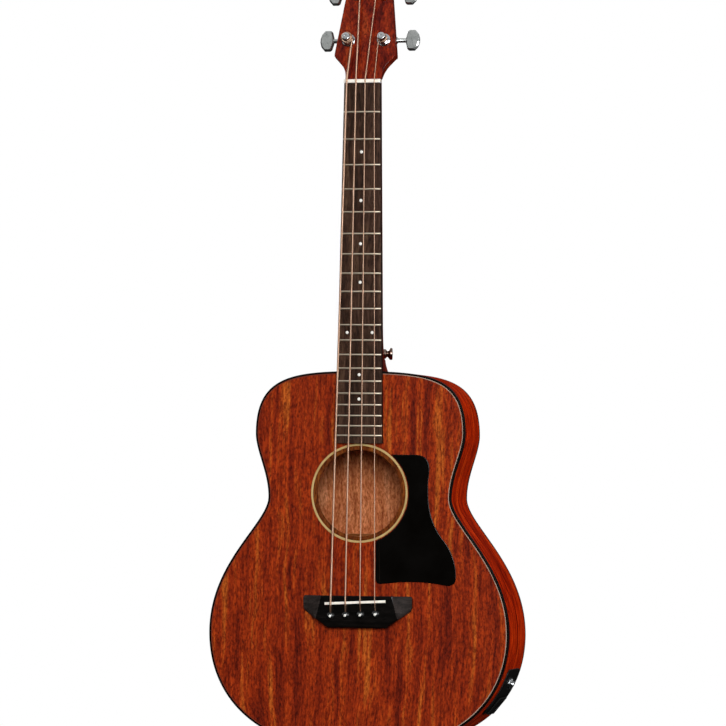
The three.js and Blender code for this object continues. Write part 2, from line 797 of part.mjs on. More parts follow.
// A brace whose length runs along +X, glued to the top plate and centred on z = 0
function topBrace(back, fore) {
  const options = { depth: braceWidth, bevelEnabled: false };
  const geometry = new THREE.ExtrudeGeometry(braceShape(back, fore), options);
  return geometry.translate(0, plateY + gap, -braceWidth / 2);
}

// Half of the body's inner width at a height, between the linings
function innerHalfWidth(z) {
  const edge = insetOutline(blockInset + liningWidth + gap);
  const i = edge.findIndex((p) => p.y < z);
  if (i < 1) return 0;
  const share = (edge[i - 1].y - z) / (edge[i - 1].y - edge[i].y);
  return edge[i - 1].x + share * (edge[i].x - edge[i - 1].x);
}

const crossBraceZ = bodyTopZ - crossBraceInset;
const crossingZ = soundholeZ - soundholeRadius - xBraceInset;
const legAngle = Math.atan(xBraceSlope);

// How far a leg of the X runs from the crossing before it meets a lining or the cross brace
function legReach(end) {
  const room = (reach) => {
    const z = crossingZ + end * reach * Math.cos(legAngle);
    const inside = innerHalfWidth(z) - reach * Math.sin(legAngle) > braceWidth;
    return inside && z < crossBraceZ - braceWidth - gap;
  };
  let [near, far] = [0, lowerBoutWidth];
  for (let i = 0; i < fitSteps; i++) {
    const middle = (near + far) / 2;
    if (room(middle)) near = middle;
    else far = middle;
  }
  return near;
}

function xBrace() {
  const lean = Math.PI / 2 - legAngle;
  const legs = [-lean, lean - Math.PI].map((turn) => {
    const leg = topBrace(legReach(-1), legReach(1)).rotateY(turn);
    return solid(leg.translate(0, 0, crossingZ));
  });
  return legs[0].add(legs[1]);
}

piece("top_x_brace", xBrace(), spruce);

function crossBrace() {
  const ends = [-braceWidth, braceWidth].map((offset) => innerHalfWidth(crossBraceZ + offset));
  const half = Math.min(...ends) - gap;
  const bar = solid(topBrace(half, half).translate(0, 0, crossBraceZ));
  return bar.subtract(rodCutter(wrenchHoleRadius, crossBraceZ - braceWidth, crossBraceZ + braceWidth));
}

piece("top_cross_brace", crossBrace(), spruce);

// The bridge plate fills the room between the X's lower legs.
function bridgePlate() {
  const half = bridgePlateWidth / 2;
  const top = bridgeTopZ + bridgePlateOverhang;
  const bottom = bridgeTopZ - bridgeDepth - bridgePlateOverhang;
  const legEdge = (z) => (crossingZ - z) * xBraceSlope - braceWidth / 2 / Math.cos(legAngle) - gap;
  const topHalf = Math.min(half, legEdge(top));
  const squareZ = top - Math.max(0, half - topHalf) / xBraceSlope;
  const plan = [
    new THREE.Vector2(-half, bottom),
    new THREE.Vector2(half, bottom),
    new THREE.Vector2(half, squareZ - weld),
    new THREE.Vector2(topHalf, top),
    new THREE.Vector2(-topHalf, top),
    new THREE.Vector2(-half, squareZ - weld),
  ];
  return pierce(solid(slab(new THREE.Shape(plan), plateY + gap, bridgePlateThickness)));
}

piece("bridge_plate", bridgePlate(), spruce);

// Braces across the back, fitted to its arch
backBraceShares.forEach((share, i) => {
  const z = bodyTopZ - share * bodyLength;
  const low = z - backBraceWidth / 2;
  const high = z + backBraceWidth / 2;
  const half = Math.min(innerHalfWidth(low), innerHalfWidth(high)) - gap;
  const xs = Array.from({ length: backSteps + 1 }, (_, k) => half * ((2 * k) / backSteps - 1));
  const lowEdge = xs.map((x) => new THREE.Vector2(x, low));
  const plan = [...lowEdge, ...xs.reverse().map((x) => new THREE.Vector2(x, high))];
  const far = (x, y) => backInnerY(x, y) - gap;
  const near = (x, y) => far(x, y) - (Math.abs(x) > half - weld ? braceEndHeight : backBraceHeight);
  piece(`back_brace_${i + 1}`, between(plan, near, far), spruce);
});

// Fretboard with its frets, as one run of sections from the nut to its end
const boardHalfWidth = (z) => (nutWidth + ((boardEndWidth - nutWidth) * (nutZ - z)) / boardLength) / 2;

function boardSection(z, rise) {
  const half = boardHalfWidth(z);
  const top = Array.from({ length: camberSteps + 1 }, (_, k) => {
    const across = 1 - (2 * k) / camberSteps;
    return new THREE.Vector3(half * across, boardTopY + boardCamber * across ** 2 - rise, z);
  });
  return [new THREE.Vector3(-half, frontY, z), new THREE.Vector3(half, frontY, z), ...top];
}

function fretboard() {
  const rings = [boardSection(nutZ, 0)];
  for (let fret = 1; fret <= fretCount; fret++) {
    const z = nutZ - fretDistance(fret);
    rings.push(boardSection(z + fretFoot / 2, 0), boardSection(z + fretCrown / 2, fretHeight));
    rings.push(boardSection(z - fretCrown / 2, fretHeight), boardSection(z - fretFoot / 2, 0));
  }
  rings.push(boardSection(nutZ - boardLength, 0));
  return skin(rings);
}

piece("fretboard", fretboard(), darkFretboard);

// Neck: superellipse sections that grow into the heel and square up into the headstock
const neckHalfWidth = (z) => boardHalfWidth(Math.min(z, nutZ));
const heelStart = bodyTopZ + gap;
const heelFull = heelStart + heelFoot;
const heelEnd = bodyTopZ + heelReach;
const heelDepth = neckDepth + backArch - heelShortfall;

// How much of a section is heel: 1 at the body, 0 where the heel has faded into the neck.
function heelShare(z) {
  if (z <= heelFull) return 1;
  if (z >= heelEnd) return 0;
  const left = (heelEnd - z) / (heelEnd - heelFull);
  return 1 - Math.sqrt(1 - left ** 2);
}

function neckBackDepth(z) {
  const plain = neckThickness + (neckThicknessAtHeel - neckThickness) * ((nutZ - z) / (nutZ - heelEnd));
  return plain + (heelDepth - neckThicknessAtHeel) * heelShare(z);
}

// Points from the bass edge round the back to the treble edge, in X and depth
function neckSection(half, depth, roundness, taperShare) {
  return Array.from({ length: sectionSteps + 1 }, (_, k) => {
    const angle = Math.PI * (1 - k / sectionSteps);
    const power = 2 / roundness;
    const x = Math.sign(Math.cos(angle)) * Math.abs(Math.cos(angle)) ** power;
    const down = Math.abs(Math.sin(angle)) ** power;
    const narrowed = 1 - (1 - heelCapShare) * taperShare * down;
    return new THREE.Vector2(half * x * narrowed, depth * down);
  });
}

function neckRing(z) {
  const share = heelShare(z);
  const roundness = neckRoundness + (heelRoundness - neckRoundness) * share;
  const section = neckSection(neckHalfWidth(z), neckBackDepth(z), roundness, share);
  return section.map((p) => new THREE.Vector3(p.x, frontY + p.y, z));
}

// The concave flare from the nut to the headstock's corner, in the headstock's frame
const flareWidening = (headWidth - nutWidth) / 2;
const flare = new THREE.CubicBezierCurve(
  new THREE.Vector2(nutWidth / 2, 0),
  new THREE.Vector2(nutWidth / 2, flareLength * flareNeckShare),
  new THREE.Vector2(nutWidth / 2 + flareWidening * flareWidthShare, flareLength * flareRiseShare),
  new THREE.Vector2(headWidth / 2 - gap, flareLength),
);

function headRing(share) {
  const { x, y } = flare.getPoint(share * flareBlendShare);
  const roundness = neckRoundness + (headSquareness - neckRoundness) * share;
  const section = neckSection(x, headThickness, roundness, 0);
  return section.map((p) => new THREE.Vector3(p.x, p.y, y).applyMatrix4(headMatrix));
}

function headPlate() {
  const shape = new THREE.Shape();
  const start = flareBlendShare * (1 - 1 / flareSteps);
  const shares = Array.from({ length: flareSteps + 1 }, (_, k) => start + ((1 - start) * k) / flareSteps);
  const curve = shares.map((share) => flare.getPoint(share));
  const tipHalf = headTipWidth / 2;
  const headHalf = headWidth / 2;
  const tipZ = headLength - headTipCrown;
  shape.moveTo(curve[0].x, curve[0].y);
  for (const p of curve.slice(1)) shape.lineTo(p.x, p.y);
  shape.quadraticCurveTo(headHalf, flareLength + gap, headHalf, flareLength + headCorner);
  shape.lineTo(tipHalf, tipZ - headTipCorner);
  shape.quadraticCurveTo(tipHalf, tipZ, tipHalf - headTipCorner, tipZ);
  shape.quadraticCurveTo(0, headLength + headTipCrown, -tipHalf + headTipCorner, tipZ);
  shape.quadraticCurveTo(-tipHalf, tipZ, -tipHalf, tipZ - headTipCorner);
  shape.lineTo(-headHalf, flareLength + headCorner);
  shape.quadraticCurveTo(-headHalf, flareLength + gap, -curve.at(-1).x, curve.at(-1).y);
  for (const p of curve.slice(0, -1).reverse()) shape.lineTo(-p.x, p.y);
  return slab(shape, 0, headThickness, { curveSegments: flareSteps });
}

function neck() {
  const heel = Array.from({ length: heelSteps }, (_, k) => {
    const angle = (Math.PI / 2) * ((k + 1) / heelSteps);
    return heelFull + (heelEnd - heelFull) * (1 - Math.cos(angle));
  });
  const rings = [heelStart, heelFull, ...heel, (heelEnd + nutZ) / 2, nutZ].map(neckRing);
  const blend = [0, 1 / 3, 2 / 3, 1].map(headRing);
  let shape = solid(skin([...rings, ...blend])).add(solid(headPlate(), headMatrix)).add(solid(tenon(0)));
  const slot = rodRadius + gap;
  const channelFoot = bodyTopZ - tenonLength - overrun;
  const deep = frontY + rodInset + slot;
  const channel = box(-slot, slot, frontY - overrun, deep, channelFoot, nutZ - rodStart + gap);
  shape = shape.subtract(solid(channel));
  for (const { post } of strings) {
    const from = new THREE.Vector3(post.x, -overrun, post.z);
    const to = new THREE.Vector3(post.x, headThickness + overrun, post.z);
    shape = shape.subtract(solid(rod(sleeveRadius + gap, from, to), headMatrix));
  }
  return shape;
}

// Half of the heel's width at a depth behind the soundboard's plane
function heelHalfWidth(z, depth) {
  const share = heelShare(z);
  const roundness = neckRoundness + (heelRoundness - neckRoundness) * share;
  const down = depth / neckBackDepth(z);
  const narrowed = 1 - (1 - heelCapShare) * share * down;
  return neckHalfWidth(z) * narrowed * (1 - down ** roundness) ** (1 / roundness);
}

// Strap buttons: a flared end, a waist and a base, on a screw
function strapButton(height, screwLength) {
  const waist = height - buttonFlangeThickness;
  return [
    [0, -screwLength],
    [strapScrewRadius, -screwLength],
    [strapScrewRadius, 0],
    [buttonBaseRadius, 0],
    [buttonBaseRadius, buttonFlangeThickness / 2],
    [buttonWaistRadius, buttonFlangeThickness * 2],
    [buttonWaistRadius, waist - buttonFlangeThickness],
    [buttonEndRadius, waist],
    [buttonEndRadius, height - buttonFlangeThickness / 2],
    [buttonEndRadius - buttonFlangeThickness / 2, height],
    [0, height],
  ];
}

const heelButtonSeat = heelButtonPlace();

function heelButtonPlace() {
  const z = bodyTopZ + heelButtonRise;
  const step = buttonBaseRadius / 2;
  const x = heelHalfWidth(z, heelButtonInset);
  const [shallow, deep] = [-step, step].map((offset) => heelHalfWidth(z, heelButtonInset + offset));
  const slopeY = (deep - shallow) / (2 * step);
  const normal = new THREE.Vector3(1, -slopeY, 0).normalize();
  return { point: new THREE.Vector3(x, frontY + heelButtonInset, z), normal };
}

function heelStrapButton(neckSolid) {
  const { point, normal } = heelButtonSeat;
  const base = point.clone().addScaledVector(normal, -conformDepth);
  const [, , , ...knob] = strapButton(heelButtonHeight + conformDepth, 0);
  const blank = solid(turned([[0, 0], ...knob], base, normal));
  const lift = normal.clone().multiplyScalar(gap);
  const seated = blank.subtract(neckSolid.translate([lift.x, lift.y, lift.z]));
  const outside = seated.decompose().sort((a, b) => b.volume() - a.volume())[0];
  const inner = point.clone().addScaledVector(normal, -heelScrewLength);
  const outer = point.clone().addScaledVector(normal, heelButtonHeight / 2);
  return outside.add(solid(rod(strapScrewRadius, inner, outer)));
}

const wholeNeck = neck();
const { point: heelPoint, normal: heelNormal } = heelButtonSeat;
const screwFrom = heelPoint.clone().addScaledVector(heelNormal, -heelScrewLength - gap);
const screwTo = heelPoint.clone().addScaledVector(heelNormal, overrun);
piece("neck", wholeNeck.subtract(solid(rod(strapScrewRadius + gap, screwFrom, screwTo))), neckMahogany);
piece("heel_strap_button", heelStrapButton(wholeNeck), chrome);
const endSeat = new THREE.Vector3(0, 0, bodyBottomZ - gap);
const down = new THREE.Vector3(0, 0, -1);
piece("end_strap_button", turned(strapButton(endButtonHeight - gap, endScrewLength), endSeat, down), chrome);

// Truss rod and the nut that its key turns
const rodEndZ = bodyTopZ - blockInset - neckBlockLength;
piece("truss_rod", rodCutter(rodRadius, nutZ - rodStart, rodEndZ), steel);

function rodNut() {
  const y = frontY + rodInset;
  const nut = rodCutter(rodNutRadius, rodEndZ - gap, rodEndZ - gap - rodNutLength);
  const mouth = new THREE.Vector3(0, y, rodEndZ - gap - rodNutLength - overrun);
  const floor = new THREE.Vector3(0, y, rodEndZ - gap - rodNutLength + rodKeyDepth);
  return nut.subtract(solid(rod(rodKeyRadius, mouth, floor, 6)));
}

piece("truss_rod_nut", rodNut(), steel);

// Nut, with a slot for each string
function nut() {
  const half = nutWidth / 2;
  const shape = new THREE.Shape();
  shape.moveTo(nutZ + gap, -frontY);
  shape.lineTo(nutZ + gap, nutHeight - frontY);
  shape.lineTo(nutZ + nutLength - nutCrown - gap, nutHeight - frontY);
  shape.lineTo(nutZ + nutLength - gap, nutHeight - frontY - 2 * nutCrown);
  shape.lineTo(nutZ + nutLength - gap, -frontY);
  shape.closePath();
  const upright = new THREE.Matrix4().makeBasis(
    new THREE.Vector3(0, 0, 1),
    new THREE.Vector3(0, -1, 0),
    new THREE.Vector3(1, 0, 0),
  );
  let bar = solid(
    new THREE.ExtrudeGeometry(shape, { depth: nutWidth, bevelEnabled: false }).translate(0, 0, -half),
    upright,
  );
  for (const string of strings) bar = bar.subtract(stringWay(string));
  return bar;
}

piece("nut", nut(), bone);

// Bridge: its plan and its elevation, one cut by the other
function bridgePlan() {
  const half = bridgeLength / 2;
  const backHalf = bridgeBackLength / 2;
  const lowZ = bridgeTopZ - bridgeDepth;
  const shoulderZ = bridgeTopZ - bridgeShoulder;
  const shape = new THREE.Shape();
  shape.moveTo(-half + bridgeCorner, bridgeTopZ);
  shape.quadraticCurveTo(-half, bridgeTopZ, -half, bridgeTopZ - bridgeCorner);
  shape.lineTo(-half, shoulderZ + bridgeCorner);
  shape.quadraticCurveTo(-half, shoulderZ, -half + bridgeCorner, shoulderZ - bridgeCorner);
  shape.lineTo(-backHalf, lowZ);
  shape.lineTo(backHalf, lowZ);
  shape.lineTo(half - bridgeCorner, shoulderZ - bridgeCorner);
  shape.quadraticCurveTo(half, shoulderZ, half, shoulderZ + bridgeCorner);
  shape.lineTo(half, bridgeTopZ - bridgeCorner);
  shape.quadraticCurveTo(half, bridgeTopZ, half - bridgeCorner, bridgeTopZ);
  return shape;
}

function bridgeElevation() {
  const half = bridgeLength / 2;
  const rampFoot = half - bridgeWingLength;
  const rampTop = rampFoot - bridgeRamp;
  const shape = new THREE.Shape();
  shape.moveTo(-half - overrun, frontY);
  shape.lineTo(-half - overrun, frontY - bridgeWingHeight);
  shape.lineTo(-rampFoot, frontY - bridgeWingHeight);
  shape.lineTo(-rampTop, frontY - bridgeHeight);
  shape.lineTo(rampTop, frontY - bridgeHeight);
  shape.lineTo(rampFoot, frontY - bridgeWingHeight);
  shape.lineTo(half + overrun, frontY - bridgeWingHeight);
  shape.lineTo(half + overrun, frontY);
  shape.closePath();
  return shape;
}

function bridge() {
  const plan = solid(slab(bridgePlan(), frontY - bridgeHeight - overrun, bridgeHeight + overrun));
  const lowZ = bridgeTopZ - bridgeDepth;
  const elevation = new THREE.ExtrudeGeometry(bridgeElevation(), {
    depth: bridgeDepth + 2 * overrun,
    bevelEnabled: false,
  });
  let shape = plan.intersect(solid(elevation.translate(0, 0, lowZ - overrun)));
  const half = bridgeLength;
  const chamfer = [
    new THREE.Vector2(lowZ - overrun, frontY - bridgeHeight - overrun),
    new THREE.Vector2(lowZ + bridgeChamfer * 2 + overrun, frontY - bridgeHeight - overrun),
    new THREE.Vector2(lowZ + bridgeChamfer * 2, frontY - bridgeHeight),
    new THREE.Vector2(lowZ, frontY - bridgeHeight + bridgeChamfer),
    new THREE.Vector2(lowZ - overrun, frontY - bridgeHeight + bridgeChamfer),
  ];
  const chamferRings = [-half, half].map((x) => chamfer.map((p) => new THREE.Vector3(x, p.y, p.x)));
  shape = shape.subtract(solid(skin(chamferRings)));
  const slotHalf = saddleLength / 2 + gap;
  const slotWall = saddleThickness / 2 + gap;
  const slotFloor = frontY - bridgeHeight + saddleSlotDepth;
  const slot = box(-slotHalf, slotHalf, frontY - bridgeHeight - overrun, slotFloor, -slotWall, slotWall);
  return pierce(shape.subtract(solid(slot, saddleFrame.matrixWorld)));
}

piece("bridge", bridge(), blackBridge);

// Saddle on its pickup strip, in the bridge's slot
const pickupNearY = frontY - bridgeHeight + saddleSlotDepth - gap - pickupThickness;

function saddle() {
  const half = saddleLength / 2;
  const crownY = frontY - stringHeight + gap;
  const footY = pickupNearY - gap;
  const shape = new THREE.Shape();
  shape.moveTo(-half, footY);
  shape.lineTo(-half, crownY + saddleArch);
  shape.quadraticCurveTo(0, crownY - saddleArch, half, crownY + saddleArch);
  shape.lineTo(half, footY);
  shape.closePath();
  const options = { depth: saddleThickness, bevelEnabled: false, curveSegments: sectionSteps };
  return new THREE.ExtrudeGeometry(shape, options).translate(0, 0, -saddleThickness / 2);
}

piece("saddle", saddle(), bone, saddleFrame);
const pickupHalf = saddleLength / 2;
const pickupSide = saddleThickness / 2;
piece(
  "saddle_pickup",
  box(-pickupHalf, pickupHalf, pickupNearY, pickupNearY + pickupThickness, -pickupSide, pickupSide),
  steel,
  saddleFrame,
);

// Bridge pins, grooved for their strings
function bridgePin(string) {
  const { pin, ball } = string;
  const profile = [
    [0, -pinLength],
    [pinTipRadius, -pinLength],
    [pinRadius, -pinLength / 2],
    [pinRadius, gap],
    [pinHeadRadius, gap],
    [pinHeadRadius, gap + pinCollarHeight],
    [pinHeadRadius / 2, gap + pinHeadHeight],
    [0, gap + pinHeadHeight],
  ];
  const whole = solid(turned(profile, pin, new THREE.Vector3(0, -1, 0), pinSides));
  const room = new THREE.SphereGeometry(ballRadius + gap, stringSides, stringSides);
  const ballRoom = solid(room.translate(...ball));
  return whole.subtract(stringWay(string)).subtract(ballRoom);
}

for (const string of strings) piece(`bridge_pin_${string.name}`, bridgePin(string), blackPlastic);

// Pickguard: its inner edge follows the soundhole's ring
function pickguard() {
  const radius = rosetteOuterRadius + guardRingGap;
  const startAngle = Math.asin(guardTop / radius);
  const innerZ = -Math.sqrt(radius ** 2 - guardInner ** 2);
  const endAngle = Math.atan2(innerZ, guardInner);
  const lowZ = bridgeTopZ + guardBridgeGap;
  const [neckShare, cornerShare] = guardNeckShares;
  const neckX = guardRight * neckShare;
  const waistZ = (soundholeZ + guardTop + lowZ) / 2;
  const corner = guardRight * (1 - cornerShare) / 2;
  const shape = new THREE.Shape();
  shape.moveTo(radius * Math.cos(startAngle), soundholeZ + guardTop);
  shape.lineTo(neckX - corner, soundholeZ + guardTop);
  shape.quadraticCurveTo(neckX, soundholeZ + guardTop, neckX, soundholeZ + guardTop - corner);
  shape.bezierCurveTo(
    neckX - corner / 4, waistZ + corner * 1.1,
    neckX + corner / 12, waistZ - corner / 4,
    guardRight - corner * 0.84, waistZ - corner * 1.4,
  );
  shape.bezierCurveTo(
    guardRight - corner / 3, waistZ - corner * 2,
    guardRight, lowZ + corner * 1.5,
    guardRight, lowZ + corner / 2,
  );
  shape.quadraticCurveTo(guardRight, lowZ - corner / 4, guardRight - corner, lowZ);
  shape.quadraticCurveTo((guardRight + guardInner) / 2, lowZ + corner / 3,
    guardInner + guardInnerCorner, lowZ);
  shape.quadraticCurveTo(guardInner, lowZ, guardInner, lowZ + guardInnerCorner);
  shape.lineTo(guardInner, soundholeZ + innerZ);
  shape.absarc(0, soundholeZ, radius, endAngle, startAngle, false);
  return slab(shape, frontY - guardThickness, guardThickness, { curveSegments: guardSteps });
}

piece("pickguard", pickguard(), blackPlastic);

// Tuners
const outwardHead = new THREE.Vector3(0, -1, 0);
const shaftY = headThickness + gap + housingDepth / 2;

function tunerBushing() {
  const bore = postRadius + gap;
  return [
    [bore, -sleeveLength],
    [sleeveRadius, -sleeveLength],
    [sleeveRadius, gap],
    [washerRadius, gap],
    [washerRadius, gap + washerThickness / 2],
    [washerRadius - washerThickness, gap + washerThickness],
    [bushRadius, gap + washerThickness],
    [bushRadius - washerThickness / 2, bushHeight],
    [bore, bushHeight],
    [bore, -sleeveLength],
  ];
}

function tunerPost(string) {
  const foot = -(headThickness + gap + postSeat);
  const capZ = postHeight - postCapHeight;
  const profile = [
    [0, foot],
    [postRadius, foot],
    [postRadius, barrelFoot - gap],
    [barrelRadius, barrelFoot],
    [barrelRadius, capZ],
    [postCapRadius, capZ],
    [postCapRadius, postHeight - postCapHeight / 2],
    [postRadius, postHeight],
    [0, postHeight],
  ];
  const post = solid(turned(profile, string.post, outwardHead));
  const topTurn = string.foot - string.turns * string.pitch;
  const hole = string.radius + postHoleSlack;
  const from = new THREE.Vector3(string.post.x - postCapRadius * 2, topTurn, string.post.z);
  const to = new THREE.Vector3(string.post.x + postCapRadius * 2, topTurn, string.post.z);
  return post.subtract(solid(rod(hole, from, to, stringSides)));
}

function tunerHousing({ post, side }) {
  const shape = new THREE.Shape();
  const half = housingWidth / 2;
  const [low, high] = [post.z - housingBelow, post.z + housingAbove];
  shape.moveTo(post.x - half + housingCorner, low);
  shape.lineTo(post.x + half - housingCorner, low);
  shape.quadraticCurveTo(post.x + half, low, post.x + half, low + housingCorner);
  shape.lineTo(post.x + half, high - housingCorner);
  shape.quadraticCurveTo(post.x + half, high, post.x + half - housingCorner, high);
  shape.lineTo(post.x - half + housingCorner, high);
  shape.quadraticCurveTo(post.x - half, high, post.x - half, high - housingCorner);
  shape.lineTo(post.x - half, low + housingCorner);
  shape.quadraticCurveTo(post.x - half, low, post.x - half + housingCorner, low);
  const bevel = { bevelEnabled: true, bevelThickness: housingBevel, bevelSize: housingBevel };
  const options = { ...bevel, bevelOffset: -housingBevel, bevelSegments: 1, curveSegments: 1 };
  const bodyDepth = housingDepth - 2 * housingBevel;
  const housing = solid(slab(shape, headThickness + gap + housingBevel, bodyDepth, options));
  const shaftZ = post.z + wormOffset;
  const shaftFrom = new THREE.Vector3(post.x + side * (half - shaftSeat - gap), shaftY, shaftZ);
  const shaftTo = new THREE.Vector3(post.x + side * (half + overrun), shaftY, shaftZ);
  const postFrom = new THREE.Vector3(post.x, headThickness - overrun, post.z);
  const postTo = new THREE.Vector3(post.x, headThickness + 2 * gap + postSeat, post.z);
  return housing
    .subtract(solid(rod(shaftRadius + gap, shaftFrom, shaftTo)))
    .subtract(solid(rod(postRadius + gap, postFrom, postTo)));
}

// The button: six bevelled edges round its outer end, narrowed to the shaft
const buttonShares = [
  [0, 0.2],
  [0.12, 0.38],
  [0.42, 0.5],
  [0.78, 0.42],
  [1, 0.17],
];

function tunerButton({ post, side }) {
  const corner = ([along, across]) => new THREE.Vector2(along * buttonWidth, across * buttonHeight);
  const points = buttonShares.map(corner);
  const mirrored = points.map((p) => new THREE.Vector2(p.x, -p.y)).reverse();
  const bevel = { bevelEnabled: true, bevelThickness: buttonBevel, bevelSize: buttonBevel };
  const options = { ...bevel, bevelOffset: -buttonBevel, bevelSegments: 1 };
  const shape = new THREE.Shape([...points, ...mirrored]);
  const head = slab(shape, -buttonThickness / 2 + buttonBevel, buttonThickness - 2 * buttonBevel, options);
  const half = housingWidth / 2;
  const collar = half + gap + shaftCollarLength;
  const shaft = [
    [0, half - shaftSeat],
    [shaftRadius, half - shaftSeat],
    [shaftRadius, half + gap],
    [shaftCollarRadius, half + gap],
    [shaftCollarRadius, collar],
    [shaftRadius, collar + shaftCollarLength / 2],
    [shaftRadius, buttonStart + buttonWidth / 2],
    [0, buttonStart + buttonWidth / 2],
  ];
  const stem = turned(shaft, new THREE.Vector3(), new THREE.Vector3(1, 0, 0));
  const whole = solid(head.translate(buttonStart, 0, 0)).add(solid(stem));
  const sided = side > 0 ? whole : whole.mirror([1, 0, 0]);
  return sided.translate([post.x, shaftY, post.z + wormOffset]);
}

// The turns of a string round its post: one tube that climbs by an even pitch
function windingRings({ post, side, coil, foot, pitch, radius, turns }) {
  const steps = Math.round(turns * windingSteps);
  return Array.from({ length: steps + 1 }, (_, i) => {
    const angle = (i / windingSteps) * fullTurn;
    const around = side > 0 ? Math.PI + angle : -angle;
    const spoke = new THREE.Vector3(Math.cos(around), 0, Math.sin(around));
    const centre = post.clone().addScaledVector(spoke, coil);
    centre.y = foot - (i / windingSteps) * pitch;
    return Array.from({ length: windingSides }, (_, k) => {
      const roll = ((k + 1 / 2) / windingSides) * fullTurn;
      const ringPoint = centre.clone().addScaledVector(spoke, radius * Math.cos(roll));
      ringPoint.y += radius * Math.sin(roll);
      return ringPoint;
    });
  });
}

// Least distance between one turn and the next, over all the points of a winding
function leastGap(rings) {
  let least = Infinity;
  for (let i = 0; i + windingSteps < rings.length; i++) {
    for (const p of rings[i]) {
      for (const q of rings[i + windingSteps]) least = Math.min(least, p.distanceTo(q));
    }
  }
  return least;
}

// What a turning winding sweeps, with the running gap
function windingEnvelope({ post, coil, radius, foot, pitch, turns }) {
  const near = new THREE.Vector3(post.x, foot + radius + 2 * gap, post.z);
  const far = new THREE.Vector3(post.x, foot - turns * pitch - radius - 2 * gap, post.z);
  return solid(rod(coil + radius + gap, near, far), headMatrix);
}

for (const string of strings) {
  const { name, radius } = string;
  const bushing = turned(tunerBushing(), string.post, outwardHead);
  piece(`tuner_bushing_${name}`, bushing, chrome, head);
  piece(`tuner_housing_${name}`, tunerHousing(string), chrome, head);
  piece(`tuner_post_${name}`, tunerPost(string), chrome, head);
  piece(`tuner_button_${name}`, tunerButton(string), chrome, head);
  const rings = windingRings(string);
  console.log(`winding_${name}: least gap to itself ${leastGap(rings).toFixed(2)} mm`);
  piece(`winding_${name}`, skin(rings), stringBronze, head);
  const ball = new THREE.SphereGeometry(ballRadius, stringSides, stringSides).translate(...string.ball);
  const wire = solid(tube(string.route, radius)).add(solid(ball));
  piece(`string_${name}`, wire.subtract(windingEnvelope(string)), stringBronze);
}

// Battery box: a curved plate on the side, and behind it the housing that the tray slides into
function batteryBox() {
  const outwards = [];
  const inwards = [];
  const lengthShare = plateLength / sideCurve.getLength();
  for (let k = 0; k <= plateSteps; k++) {
    const share = heightShare(plateZ) + (k / plateSteps - 1 / 2) * lengthShare;
    const point = sideCurve.getPointAt(share);
    const out = sideOut(share);
    outwards.push(point.clone().addScaledVector(out, gap + plateThickness));
    inwards.unshift(point.clone().addScaledVector(out, gap));
  }
  const nearY = frontY + plateInset - plateWidth / 2;
  const rings = [nearY, nearY + plateWidth].map((y) =>
    [...outwards, ...inwards].map((p) => new THREE.Vector3(p.x, y, p.z)),
  );
  const plate = solid(skin(rings));
  const housing = boxAround(boxWall, -boxInnerLength - boxWall, gap + plateThickness / 2);
  const cavity = boxAround(0, -boxInnerLength, overrun);
  const jackHole = solid(rod(jackTubeRadius + gap, jackPoint(-overrun), jackPoint(overrun)));
  const shoulderRoom = solid(rod(jackBarrelRadius + gap, jackPoint(-overrun), jackPoint(gap - jackSeat)));
  return plate.add(housing).subtract(cavity).subtract(jackHole).subtract(shoulderRoom);
}

piece("battery_box", batteryBox(), blackPlastic);

// Tray: a front with a finger grip, and an open trough for the battery
const trayOuterLength = batteryLength + batteryTerminalHeight + 2 * gap + trayWall;

function batteryTray() {
  const halfWidth = boxInnerWidth / 2 - gap;
  const high = boxInnerHeight / 2 - gap;
  const low = -high;
  const frontX = gap + plateThickness + gap;
  const lipWidth = halfWidth + trayLip;
  const bond = frontX + trayFront / 2;
  const trough = solid(box(-trayOuterLength, bond, -halfWidth, halfWidth, low, high));
  const roomHalf = halfWidth - trayWall;
  const roomEnd = -trayOuterLength + trayWall;
  const room = solid(box(roomEnd, 0, -roomHalf, roomHalf, low + trayWall, high + overrun));
  const front = solid(box(frontX, frontX + trayFront, -lipWidth, lipWidth, low - trayLip, high + trayLip));
  const gripX = frontX + trayFront;
  const gripZ = high - trayGripHeight;
  const grip = solid(box(bond, gripX + trayGripDepth, -trayGripWidth / 2, trayGripWidth / 2, gripZ, high));
  return trough.subtract(room).add(front).add(grip);
}

piece("battery_tray", batteryTray().transform(trayFrame.toArray()), blackPlastic);

function battery() {
  const x1 = -gap;
  const x0 = x1 - batteryLength;
  const low = -boxInnerHeight / 2 + gap + trayWall + gap;
  const cell = solid(box(x0, x1, -batteryWidth / 2, batteryWidth / 2, low, low + batteryThickness));
  const z = low + batteryThickness / 2;
  const studs = [-1, 1].map((side) => {
    const from = new THREE.Vector3(x0 + batteryTerminalHeight, (side * batteryWidth) / 4, z);
    const to = new THREE.Vector3(x0 - batteryTerminalHeight, (side * batteryWidth) / 4, z);
    return solid(rod(batteryTerminalRadius, from, to, stringSides));
  });
  return cell.add(studs[0]).add(studs[1]);
}

piece("battery", battery().transform(trayFrame.toArray()), batterySkin);

// Output jack: a barrel inside, and a threaded tube with its nut outside
function outputJack() {
  const face = gap + plateThickness + gap;
  const profile = [
    [jackBore, -jackLength],
    [jackBarrelRadius, -jackLength],
    [jackBarrelRadius, -jackSeat],
    [jackTubeRadius, -jackSeat],
    [jackTubeRadius, face],
    [jackNutRadius, face],
    [jackNutRadius, face + jackNutHeight],
    [jackTubeRadius, face + jackNutHeight],
    [jackTubeRadius, face + jackReach],
    [jackBore, face + jackReach],
    [jackBore, -jackLength],
  ];
  return turned(profile, new THREE.Vector3(), new THREE.Vector3(1, 0, 0));
}

piece("output_jack", solid(outputJack(), jackFrame), chrome);

export default part;
